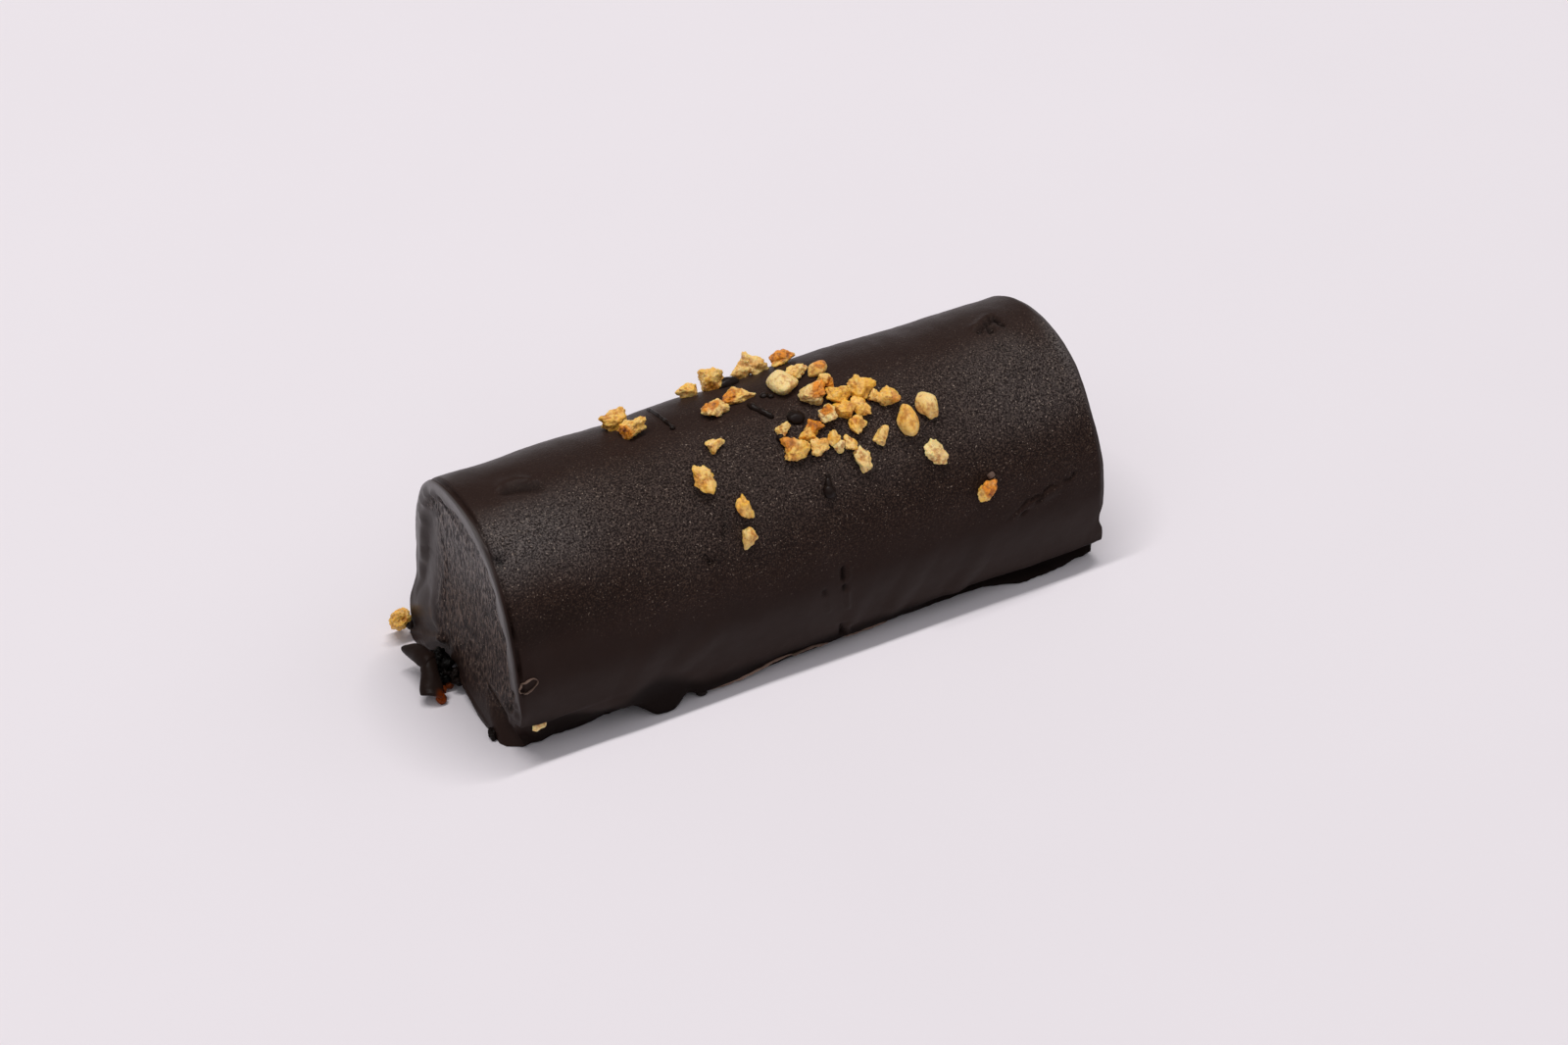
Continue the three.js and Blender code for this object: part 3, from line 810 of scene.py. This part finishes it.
# Of each kind: (x, turn) or a point in space, (length, width, height), spin, seed, share of skin,
# tone from pale to golden, side of the skin, and lobes: (angle, amount, half width).
NUTS = {
    "chunk": [
        ((-20.9, 105), (4.9, 3.2, 3.4), 10, 1, 0.06, 0.85, 60,
         [(155, 0.6, 16), (60, 0.1, 30), (108, -0.2, 20)]),
        ((-19.7, 95.5), (4.4, 3.8, 3.3), -25, 2, 0.4, 0.6, 215,
         [(38, 0.5, 16), (80, -0.3, 24), (215, 0.15, 40)]),
        ((-7, 110.5), (4.1, 2.3, 2.3), 10, 3, 0.1, 0.6, 0, [(22, 0.15, 30), (200, 0.3, 28)]),
        ((-2.2, 112), (3.7, 3.2, 4), -15, 4, 0.22, 0.7, 270, [(240, 0.2, 30)]),
        ((4.6, 115), (5.8, 3.4, 4.4), 0, 5, 0.12, 0.6, 20,
         [(112, 0.55, 18), (5, 0.5, 16), (212, 0.4, 22), (58, -0.35, 22), (-80, -0.45, 26)]),
        ((10.2, 112.5), (4.5, 2.6, 2.4), 0, 6, 0.75, 0.7, 100, [(180, 0.2, 22), (5, 0.2, 22)]),
        ((-2.1, 95.7), (6.3, 2.6, 1.8), 2, 7, 0.55, 0.6, 170,
         [(195, 0.35, 18), (10, 0.25, 18), (90, 0.1, 20)]),
        ((-6.6, 91.3), (4.5, 3.1, 2.4), 5, 8, 0.32, 0.4, 120, [(178, 0.15, 25), (15, 0.12, 25)]),
        ((9, 96.6), (3.9, 2.6, 2.3), 35, 10, 0.08, 0.45, 0, [(30, 0.25, 25), (210, 0.25, 25)]),
        ((8.1, 82.2), (4.2, 4, 3), 15, 12, 0.42, 0.3, 20, [(215, 0.15, 30), (60, 0.15, 25)]),
        ((11.7, 76.8), (4.2, 3, 2.9), -20, 14, 0.04, 0.95, 90,
         [(150, 0.25, 22), (40, 0.2, 22), (95, -0.15, 20)]),
        ((15, 76.9), (3.8, 3.7, 3.2), 30, 15, 0.08, 0.95, 180,
         [(100, 0.45, 17), (20, 0.2, 20), (200, 0.2, 20), (60, -0.12, 18)]),
        ((11.5, 71.4), (3.3, 3.1, 2.6), 10, 16, 0.1, 0.85, 60, [(165, 0.2, 22), (-80, 0.2, 25)]),
        ((8.6, 71.4), (3.2, 2.9, 2.6), 35, 20, 0.38, 0.15, 90,
         [(95, 0.3, 24), (-25, 0.3, 20), (200, 0.2, 22)]),
        ((5.7, 69.2), (3.1, 2.4, 2.2), -10, 22, 0.95, 0.9, 90,
         [(115, 0.25, 20), (0, 0.2, 20), (-70, 0.2, 20)]),
        ((1.4, 62.9), (4.6, 3.8, 2.7), -20, 24, 0.3, 0.75, 135,
         [(150, 0.35, 24), (15, 0.3, 24), (-88, 0.35, 26), (70, -0.3, 26)]),
        ((4.8, 61.2), (3.3, 3.1, 2.2), 40, 25, 0.15, 0.5, 60, [(50, 0.35, 22), (230, 0.2, 25)]),
        ((10.8, 51.5), (2.6, 4.1, 2.1), -15, 29, 0.04, 0.3, 0, [(-85, 0.25, 24), (95, 0.15, 22)]),
        ((18.6, 70), (3.4, 3.2, 2.7), 25, 30, 0.2, 0.7, -5,
         [(-5, 0.3, 14), (100, 0.15, 22), (180, 0.15, 25)]),
        ((15.2, 57), (3, 2.2, 1.8), 30, 33, 0.1, 0.45, 0, [(190, 0.35, 18), (60, 0.3, 20), (-60, 0.25, 20)]),
        ((22.9, 44.4), (3.2, 4.3, 1.9), 25, 54, 0.12, 0.2, 0, [(110, 0.1, 30), (-45, 0.3, 20)]),
        ((30, 21.8), (3.4, 3.3, 2.6), -10, 35, 0.6, 0.8, 30,
         [(-85, 0.35, 22), (175, 0.2, 20), (40, 0.15, 24)]),
        ((-14.5, 63.7), (3.4, 4.8, 2.4), 8, 37, 0.16, 0.7, 200,
         [(130, 0.15, 22), (45, 0.2, 22), (-60, 0.2, 22)]),
        ((-10, 49.2), (2.5, 3.9, 2.2), 5, 38, 0.2, 0.75, 200,
         [(95, 0.75, 13), (0, 0.2, 24), (190, 0.2, 24)]),
        ((-10, 36.5), (2.3, 3.3, 2), 0, 39, 0.12, 0.5, 40, [(-110, 0.3, 20), (80, 0.12, 30)]),
        ((-52.7, 18, 1.7), (3.6, 3.4, 4.1), 0, 41, 0.15, 0.8, 90, [(180, 0.1, 30), (-80, 0.15, 25)]),
    ],
    "half": [
        ((5.7, 92.8), (4.3, 5.2, 3), 10, 9, 0, 0.15, 0, [(-60, -0.15, 26), (-5, 0.08, 22)]),
        ((11.9, 93.2), (3.2, 2.7, 2.4), 20, 11, 0.3, 0.6, 70, []),
        ((20, 59.6), (3.3, 5.2, 2.7), -12, 31, 0.05, 0.65, 60, [(118, 0.12, 30), (-65, 0.1, 30)]),
        ((24, 62.4), (3.4, 4.6, 2.8), 20, 32, 0.04, 0.35, 60, [(-78, 0.35, 16), (-130, -0.1, 22)]),
    ],
    "crumb": [
        ((11.6, 86), (2.5, 2.7, 2.2), 50, 13, 0.4, 0.6, -20, [(120, 0.3, 25)]),
        ((13.8, 70), (2.7, 3.8, 2.3), 20, 17, 0.05, 0.75, 0,
         [(75, 0.25, 24), (-110, 0.2, 20), (180, -0.12, 20)]),
        ((16.8, 72.8), (2.2, 2.4, 1.8), 0, 18, 0.05, 0.6, 0, [(80, 0.2, 25)]),
        ((12.2, 64.6), (3.1, 2.6, 2.1), 15, 19, 0.18, 0.7, 100, []),
        ((1.2, 72.1), (2.4, 2.1, 1.7), 0, 21, 0.22, 0.45, -40, [(-50, -0.4, 22)]),
        ((4.1, 67.1), (2.3, 2.7, 1.9), 70, 23, 0.05, 0.75, 0, []),
        ((7.7, 62.4), (2, 2.6, 1.7), -25, 26, 0.12, 0.8, 200, [(90, 0.15, 28)]),
        ((8.1, 58.9), (2.1, 2.1, 1.5), 0, 27, 0.1, 0.1, 0, [(150, 0.2, 22), (-60, 0.25, 22)]),
        ((9.9, 58.6), (2.7, 2.2, 1.7), -45, 28, 0.05, 0.6, 0, [(132, 0.5, 20), (-48, 0.4, 22)]),
        ((-10.2, 74.9), (2.9, 2.4, 1.9), 10, 36, 0.05, 0.6, 0,
         [(155, 0.5, 26), (32, 0.5, 26), (270, 0.45, 26), (90, -0.12, 22)]),
        ((-46.7, -24), (2.2, 2.4, 1), 0, 40, 0.08, 0.05, 0,
         [(-100, 0.4, 22), (150, 0.3, 20), (40, 0.3, 20)]),
    ],
}


def random_planes(rng, count):
    """Planes round a chopped piece: unit normals, spread out, and distances from its middle."""
    normals = []
    for _ in range(count):
        options = rng.normal(size=(PLANE_TRIES, 3))
        options /= np.linalg.norm(options, axis=1, keepdims=True)
        nearest = [max((option @ n for n in normals), default=0) for option in options]
        normals.append(options[int(np.argmin(nearest))])
    return np.array(normals), rng.uniform(*PLANE_DISTANCES, count)


def outline_factor(directions, lobes):
    """Lobes and bites of an outline: (angle, amount, half width), the angle as seen from the front."""
    right, up = directions @ OUT_RIGHT, directions @ OUT_UP
    angle = np.degrees(np.arctan2(up, right))
    factor = np.ones(len(directions))
    for at, amount, width in lobes:
        away = (angle - at + 180) % 360 - 180
        factor += LOBE_SHARE * amount * bell(away, LOBE_WIDTH * width) * (right**2 + up**2)
    return factor


def skin_cover(directions, points, side_angle, share, seed):
    """How toasted each point is: the skin covers one side of a nut, with an uneven edge."""
    angle = math.radians(side_angle)
    facing = OUT_FRONT * 0.75 + OUT_RIGHT * math.cos(angle) + OUT_UP * math.sin(angle)
    facing /= np.linalg.norm(facing)
    closeness = directions @ facing + SKIN_UNEVEN * noise_at(points, SKIN_UNEVEN_SIZE, seed)
    edge = 1 - 1.25 * share
    return smoothstep(closeness, edge - 0.12, edge + 0.18) * min(1, 3 * share)


def chopped(directions, rng, size, axes, lobes, planes, sharpness, rough, scoops):
    """A chopped piece with flat broken faces and scooped-out places, standing on its place.
    Gives its points, the directions they lie in, a tone for each face and how low each point is."""
    turned = directions @ axes
    normals, distances = random_planes(rng, planes)
    k = np.maximum(turned @ normals.T, 0) / distances
    total = (k**sharpness).sum(1)
    reach = total ** (-1 / sharpness)
    tone = (k**sharpness / total[:, None]) @ rng.uniform(0, 1, planes)
    for _ in range(scoops):
        towards = rng.normal(size=3)
        towards /= np.linalg.norm(towards)
        away = np.degrees(np.arccos(np.clip(turned @ towards, -1, 1)))
        reach *= 1 - rng.uniform(*SCOOP_DEPTHS) * bell(away, rng.uniform(*SCOOP_DEGREES))
    reach *= outline_factor(turned, lobes)
    points = directions * reach[:, None]
    low, high = points.min(0), points.max(0)
    points = (points - (low + high) / 2) / (high - low) * np.array(size)
    seed = rng.uniform(0, 50)
    lumps = sum(height * noise_at(points, width, seed + i) for i, (height, width) in enumerate(LUMPS))
    # The low places among the lumps get painted shade.
    return points * (1 + rough * lumps[:, None]), turned, tone, np.clip(-LUMP_SHADE * lumps, 0, 1)


def nut_piece(kind, side):
    directions, triangles = icosphere(NUT_LEVELS)
    pile = Pile()
    for spot, size, spin, seed, share, tone, skin_side, lobes in NUTS[kind]:
        rng = np.random.default_rng(seed)
        axes, place = axes_at(side, spot, spin)
        shape, turned, patch, hollow = chopped(directions, rng, size, axes, lobes, **CHOPPED[kind])
        pile.add(
            place + axes[2] * size[2] * NUT_LIFT + shape @ axes,
            triangles,
            toast=skin_cover(turned, shape, skin_side, share, seed),
            tone=tone + TONE_SPREAD * (patch - 0.5),
            hollow=hollow,
        )
    return pile.mesh("nut_" + kind + "s")


# ======== the curl at the near end
# Two curved sheets: points along both edges, the height of the arch between them, and how much
# thicker the far edge is. Only the tongue's end is thin enough to see through.
TONGUE = {
    "left": [
        (-53.6, 6.6, 4.5), (-55.1, 5.3, 4.2), (-55.8, 4.1, 3.5),
        (-56.5, 3.2, 2.7), (-56.9, 2.5, 2.1), (-56.8, 1.8, 1.6),
    ],
    "right": [
        (-52.4, 5.8, 4.9), (-53.1, 4.4, 4.4), (-53.4, 2.8, 3.5),
        (-53.5, 1.8, 2.7), (-53.8, 0.9, 2), (-54.6, 0.1, 1.3),
    ],
    "arch": 0.85,
    "end": 0.25,
}
EAR = {
    "left": [(-54.9, 4.2, 4.2), (-55.4, 5.6, 4.1), (-55.5, 7.4, 3.8), (-55.4, 9.3, 3.4), (-55.3, 10.8, 3.2)],
    "right": [(-52.9, 5.2, 5), (-53, 6.3, 5.3), (-53.3, 7.8, 5.4), (-54, 9.4, 5), (-54.9, 10.8, 3.9)],
    "arch": 0.9,
    "end": 0,
}
# Beads of thin see-through chocolate at the tongue's end, and near-black lumps that fill the hollow behind
# it
# with painted shade: place, radii, and how thin the chocolate is; below zero it is painted near black as
# shade.
CURL_BEADS = [
    ((-54.3, 0.5, 1), (0.85, 0.7, 0.95), 1),
    ((-53.4, 1.5, 1.6), (0.4, 0.5, 0.8), 0.8),
    ((-51.9, 3, 0.9), (0.9, 0.8, 0.6), 0.55),
    ((-51.9, 5.6, 4.4), (1.2, 1.3, 1.2), -1),
    ((-51.4, 4.6, 3.4), (1.2, 1.2, 1.3), -1),
    ((-51.3, 3.7, 2.2), (1.1, 1.1, 1.1), -0.8),
    ((-52.6, 3.6, 2), (1, 1.1, 1.3), -1),
    ((-52.6, 4.8, 3.6), (0.9, 1, 1), -1),
    ((-51, 2.6, 2.6), (1, 0.9, 0.9), -0.6),
    ((-50.9, 1.6, 2.2), (0.8, 0.7, 0.6), -0.5),
    ((-51.3, -10.5, 0.95), (0.65, 0.85, 0.75), -0.6),
]
SHEET_ROWS, SHEET_COLUMNS = 44, 26
SHEET_THICKNESS, THINNEST_EDGE = 0.34, 0.12
SHEET_UNEVEN, SHEET_UNEVEN_SIZE = 0.12, 1.6


def sheet_of_chocolate(left, right, arch, end):
    """A curved sheet between two edges, closed to a thin solid with rounded edges."""
    a, b = spline(left, SHEET_ROWS), spline(right, SHEET_ROWS)
    across = np.linspace(0, 1, SHEET_COLUMNS)[:, None]
    top = []
    for start, stop, forward in zip(a, b, np.gradient(a + b, axis=0)):
        up = np.cross(stop - start, forward)
        up /= np.linalg.norm(up)
        if up[2] < 0:
            up = -up
        top.append(lerp(start, stop, across) + up * arch * (1 - (2 * across - 1) ** 2))
    grid = np.array(top)
    normals = np.cross(np.gradient(grid, axis=1), np.gradient(grid, axis=0))
    normals /= np.linalg.norm(normals, axis=-1, keepdims=True)
    if normals[SHEET_ROWS // 2, SHEET_COLUMNS // 2, 2] < 0:
        normals = -normals
    u = np.linspace(-1, 1, SHEET_COLUMNS)[None, :]
    v = np.linspace(-1, 1, SHEET_ROWS)[:, None]
    rounded = np.sqrt(np.clip(1 - np.abs(u) ** 8, 0, 1)) * np.sqrt(np.clip(1 - np.maximum(v, 0) ** 14, 0, 1))
    thick = (SHEET_THICKNESS + end * smoothstep(v, 0.6, 0.95)) * np.maximum(rounded, THINNEST_EDGE)
    upper = grid + normals * thick[..., None]
    lower = grid - normals * thick[..., None]
    return np.concatenate([upper, lower[:, ::-1]], 1)


def curl_mesh():
    pile = Pile()
    for shape in (TONGUE, EAR):
        ring = sheet_of_chocolate(**shape)
        rows, columns = ring.shape[:2]
        flat = ring.reshape(-1, 3)
        uneven = [noise_at(flat, SHEET_UNEVEN_SIZE, 5 + i) for i in range(3)]
        v = np.linspace(0, 1, rows)[:, None]
        u = np.linspace(0, 1, columns // 2)
        u = np.concatenate([u, u[::-1]])[None, :]
        thin = smoothstep(v, 0.72, 0.95) * smoothstep(u, 0.62, 0.95) * (shape["end"] > 0)
        pile.add(flat + SHEET_UNEVEN * np.stack(uneven, -1), tube_faces(rows, columns), thin=thin.ravel())
    directions, triangles = icosphere(BEAD_LEVELS)
    for seed, (place, radii, thin) in enumerate(CURL_BEADS):
        shape = directions * radii
        uneven = (0.7 if thin <= 0 else 0.3) * noise_at(shape, 1, seed, 3)
        pile.add(shape * (1 + uneven)[:, None] + place, triangles, thin=thin)
    return pile.mesh("chocolate_curl")


# ======== materials
class Nodes:
    """Short ways to add and join shader nodes. Sizes and distances are in millimetres."""

    def __init__(self, tree):
        self.tree = tree

    def put(self, socket, value):
        if isinstance(value, bpy.types.NodeSocket):
            self.tree.links.new(value, socket)
        elif value is not None:
            socket.default_value = value

    def node(self, kind, output, inputs, **settings):
        """Adds a node, sets or joins its inputs, and gives one of its outputs."""
        node = self.tree.nodes.new("ShaderNode" + kind)
        for key, value in settings.items():
            setattr(node, key, value)
        for key, value in inputs.items():
            self.put(node.inputs[key], value)
        return node.outputs[output]

    def place(self, kind="Object"):
        return self.node("TexCoord", kind, {})

    def attribute(self, name):
        return self.node("Attribute", "Fac", {}, attribute_name=name)

    def stretched(self, place, scale):
        return self.node("Mapping", "Vector", {"Vector": place, "Scale": scale})

    def noise(self, place, size, detail=2, roughness=0.5):
        inputs = {"Vector": place, "Scale": 1 / (size * MM), "Detail": detail, "Roughness": roughness}
        return self.node("TexNoise", "Fac", inputs)

    def math(self, operation, *values):
        return self.node("Math", 0, dict(enumerate(values)), operation=operation)

    def times(self, a, b):
        return self.math("MULTIPLY", a, b)

    def ramp(self, value, low, high, to_low=0, to_high=1):
        """From one number to another while a value goes from low to high."""
        inputs = {"Value": value, "From Min": low, "From Max": high, "To Min": to_low, "To Max": to_high}
        return self.node("MapRange", "Result", inputs)

    def mix(self, share, a, b):
        return self.node("Mix", "Result", {"Factor": share, "A": a, "B": b}, data_type="RGBA")

    def float_mix(self, share, a, b):
        return self.node("Mix", 0, {0: share, 2: a, 3: b}, data_type="FLOAT")

    def bump(self, height, distance, strength, normal=None):
        inputs = {"Height": height, "Distance": distance * MM, "Strength": strength, "Normal": normal}
        return self.node("Bump", "Normal", inputs)


def colour(red, green, blue):
    """An sRGB colour from 0 to 255, as linear RGBA."""
    shares = [v / 255 for v in (red, green, blue)]
    return (*(((v + 0.055) / 1.055) ** 2.4 if v > 0.0405 else v / 12.92 for v in shares), 1)


def make_material(name, look):
    """A material with one principled shader; its look gives what each of the inputs is set to."""
    material = bpy.data.materials.new(name)
    material.use_nodes = True
    tree = material.node_tree
    tree.nodes.clear()
    output = tree.nodes.new("ShaderNodeOutputMaterial")
    shader = tree.nodes.new("ShaderNodeBsdfPrincipled")
    tree.links.new(shader.outputs[0], output.inputs[0])
    n = Nodes(tree)
    for socket, value in look(n, n.place()).items():
        n.put(shader.inputs[socket], value)
    return material


def coat_look(n, place):
    grain, bloom, face, painted_shade = (n.attribute(key) for key in ("grain", "bloom", "face", "painted_shade"))
    brown = n.mix(n.noise(place, 7, 3), colour(39, 27, 23), colour(46, 33, 29))
    # Painted shade: sunk marks, the bevel above the foot and a faint low band are darkened towards near
    # black.
    hollow = n.mix(n.times(painted_shade, 0.8), brown, colour(10, 7, 6))

    # The grain: pits, pale specks and a few sparks, bright dots that are painted glints. On the end faces it
    # is coarser and drawn upwards.
    drawn = n.noise(n.stretched(place, (1, 1, 0.4)), 0.46, 2, 0.6)
    specks = n.float_mix(face, n.noise(place, 0.29, 2, 0.6), drawn)
    pits = n.times(n.ramp(specks, 0.48, 0.36), grain)
    pitted = n.mix(n.times(pits, n.ramp(face, 0, 1, 0.6, 0.74)), hollow, colour(14, 9, 7))
    pale = n.times(n.ramp(specks, 0.5, 0.66), grain)
    speckled = n.mix(n.times(pale, n.ramp(face, 0, 1, 0.45, 0.6)), pitted, colour(106, 84, 70))
    painted_glints = n.times(n.ramp(n.noise(place, 0.3, 1, 0.5), 0.69, 0.75), grain)
    grainy = n.mix(painted_glints, speckled, colour(160, 142, 128))

    # The satin shine, dull where the painted shade lies, and over it a rough pale bloom with faint wisps.
    satin = n.ramp(n.noise(place, 3, 3), 0.3, 0.7, 0.36, 0.46)
    shine = n.float_mix(painted_shade, satin, 0.85)
    wisps = n.ramp(n.noise(n.stretched(place, (1, 1, 0.5)), 6, 3, 0.55), 0.5, 0.75, 0, 0.04)
    glint = n.float_mix(grain, 1, n.ramp(specks, 0.38, 0.64, 0.2, 1.9))
    veil = n.math("MULTIPLY_ADD", bloom, glint, wisps)
    strength = n.ramp(grain, 0, 1, 0.05, 1)
    relief = n.bump(specks, 0.42, strength, n.bump(n.noise(place, 1.6), 0.1, 0.5))
    return {
        "Base Color": grainy,
        "Roughness": shine,
        "IOR": 1.14,
        "Coat Weight": veil,
        "Coat Roughness": 0.62,
        "Coat IOR": 1.7,
        "Normal": relief,
        "Coat Normal": relief,
    }


def drip_look(n, place):
    dark = n.mix(n.noise(place, 2, 3), colour(24, 16, 14), colour(34, 24, 20))
    return {
        # The pale colour stands for thin chocolate, and along the lifted foot edge it is a painted
        # highlight.
        "Base Color": n.mix(n.attribute("pale"), dark, colour(168, 138, 122)),
        "Roughness": n.ramp(n.noise(place, 0.8), 0.3, 0.7, 0.26, 0.4),
        "IOR": 1.22,
        "Normal": n.bump(n.noise(place, 0.5, 3), 0.1, 0.6),
    }


def curl_look(n, place):
    thin = n.attribute("thin")
    brown = n.mix(n.noise(place, 2, 3), colour(28, 19, 16), colour(38, 27, 23))
    # Painted shade: beads below zero are darkened to near black to fill the hollow behind the tongue.
    painted_shade = n.mix(n.ramp(thin, 0, -1), brown, colour(8, 6, 5))
    amber = n.times(n.ramp(thin, 0, 1), n.ramp(n.noise(place, 1), 0.2, 0.5))
    return {
        "Base Color": n.mix(amber, painted_shade, colour(124, 50, 5)),
        "Roughness": n.ramp(n.noise(place, 1.2), 0.3, 0.7, 0.34, 0.46),
        "IOR": 1.16,
        "Normal": n.bump(n.noise(place, 0.8, 3), 0.08, 0.4),
    }


def nut_look(n, place):
    cloud = n.noise(place, 0.9, 4, 0.6)
    golden = n.math("ADD", n.attribute("tone"), n.ramp(cloud, 0.3, 0.7, -0.3, 0.3))
    flesh = n.mix(golden, colour(252, 225, 158), colour(249, 188, 66))
    skin = n.mix(n.ramp(n.noise(place, 0.8, 3), 0.45, 0.7), colour(240, 150, 28), colour(104, 42, 6))
    covered = n.times(n.attribute("toast"), n.ramp(n.noise(place, 0.9, 3), 0.2, 0.45, 0.5, 1))
    spots = n.times(n.ramp(n.noise(place, 0.5, 3), 0.62, 0.72), 0.35)
    spotted = n.mix(spots, n.mix(covered, flesh, skin), colour(150, 90, 34))
    # Painted shade: the low places among the lumps are darkened towards orange brown.
    shaded = n.mix(n.times(n.attribute("hollow"), 0.7), spotted, colour(184, 106, 28))
    crumbly = n.times(n.ramp(n.noise(place, 0.22, 3, 0.7), 0.5, 0.3), 0.25)
    return {
        "Base Color": n.mix(crumbly, shaded, colour(170, 112, 50)),
        "Roughness": n.ramp(cloud, 0.3, 0.7, 0.34, 0.52),
        "Subsurface Weight": 0.3,
        "Subsurface Radius": (1.0, 0.5, 0.15),
        "Subsurface Scale": 0.6 * MM,
        "Normal": n.bump(n.noise(place, 0.3, 4, 0.65), 0.2, 0.9),
    }


def floor_look(n, place):
    return {
        "Base Color": n.mix(n.noise(place, 60, 3), colour(228, 223, 228), colour(231, 226, 231)),
        "Roughness": 0.9,
        "Normal": n.bump(n.noise(place, 1.5, 4), 0.05, 0.3),
    }


# ======== stage
FLOOR_REACH = 1500
FLOOR_CORNERS = [(-1, -1), (1, -1), (1, 1), (-1, 1)]
VIEW_TURN, VIEW_TILT = math.radians(29.83), math.radians(37.56)
VIEW_DISTANCE = 627.8
VIEW_AIM, AIM_RIGHT, AIM_DOWN = Vector((0, 0, 15)), 4.54, 0.69
LENS, SENSOR_WIDTH = 93.25, 36
# A long strip of light overhead, a little behind the log: metres, watts, and its tilt towards it.
STRIP = {"place": (-0.08, 0.15, 2.0), "size": (1.9, 0.12), "power": 30.4, "tint": (1.0, 0.975, 0.965)}
STRIP_TILT = math.atan2(0.075, 1.0)
# The soft surround: between two heights of the sky, from one strength to another.
SKY_TINT = (0.985, 0.975, 1.0, 1)
SKY_BEHIND, SKY_IN_FRONT = (0.05, 0.6, 0.7, 0.06), (0.14, 0.72, 0.01, 0.82)
SKY_TURN = (0.3, -0.3)


def make_camera():
    right = Vector((math.cos(VIEW_TURN), -math.sin(VIEW_TURN), 0))
    level = math.cos(VIEW_TILT)
    forward = Vector((math.sin(VIEW_TURN) * level, math.cos(VIEW_TURN) * level, -math.sin(VIEW_TILT)))
    up = right.cross(forward)
    aim = VIEW_AIM + right * AIM_RIGHT - up * AIM_DOWN
    data = bpy.data.cameras.new("camera")
    data.lens = LENS
    data.sensor_width = SENSOR_WIDTH
    data.clip_start, data.clip_end = 0.01, 50
    camera = add_object("camera", data)
    turn = Matrix((right, up, -forward)).transposed()
    camera.matrix_world = Matrix.Translation((aim - forward * VIEW_DISTANCE) * MM) @ turn.to_4x4()
    bpy.context.scene.camera = camera


def make_floor():
    corners = [(x * FLOOR_REACH, y * FLOOR_REACH, FLOOR_Z) for x, y in FLOOR_CORNERS]
    floor = make_mesh("studio_floor", corners, [(0, 1, 2, 3)])
    floor.data.materials.append(make_material("studio_paper", floor_look))


def make_strip_light():
    data = bpy.data.lights.new("strip_light", "AREA")
    data.shape = "RECTANGLE"
    data.size, data.size_y = STRIP["size"]
    data.energy = STRIP["power"]
    data.color = STRIP["tint"]
    light = add_object("strip_light", data)
    light.location = STRIP["place"]
    light.rotation_euler = (STRIP_TILT, 0, 0)


def make_surround():
    """A soft surround, brighter high in front of the log and low behind it."""
    world = bpy.data.worlds.new("soft_surround")
    world.use_nodes = True
    background = world.node_tree.nodes["Background"]
    background.inputs["Color"].default_value = SKY_TINT
    n = Nodes(world.node_tree)
    across, up = (n.node("SeparateXYZ", axis, {0: n.place("Generated")}) for axis in ("Y", "Z"))
    behind = n.ramp(up, *SKY_BEHIND)
    before = n.ramp(up, *SKY_IN_FRONT)
    in_front = n.ramp(across, *SKY_TURN)
    strength = n.math("MULTIPLY_ADD", in_front, n.math("SUBTRACT", before, behind), behind)
    n.put(background.inputs["Strength"], strength)
    bpy.context.scene.world = world
    bpy.context.scene.view_settings.view_transform = "Standard"


def main():
    make_camera()
    make_floor()
    make_strip_light()
    make_surround()
    coat, side = coat_mesh()
    chocolates = (
        (coat, "dark_chocolate", coat_look),
        (curl_mesh(), "thin_chocolate", curl_look),
        (drips_piece(side), "glossy_chocolate", drip_look),
    )
    for piece, name, look in chocolates:
        piece.data.materials.append(make_material(name, look))
        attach(piece, "root")
        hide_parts("glazed_log")
    nuts = make_material("toasted_nut", nut_look)
    for kind in NUTS:
        piece = nut_piece(kind, side)
        piece.data.materials.append(nuts)
        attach(piece, "root")


main()
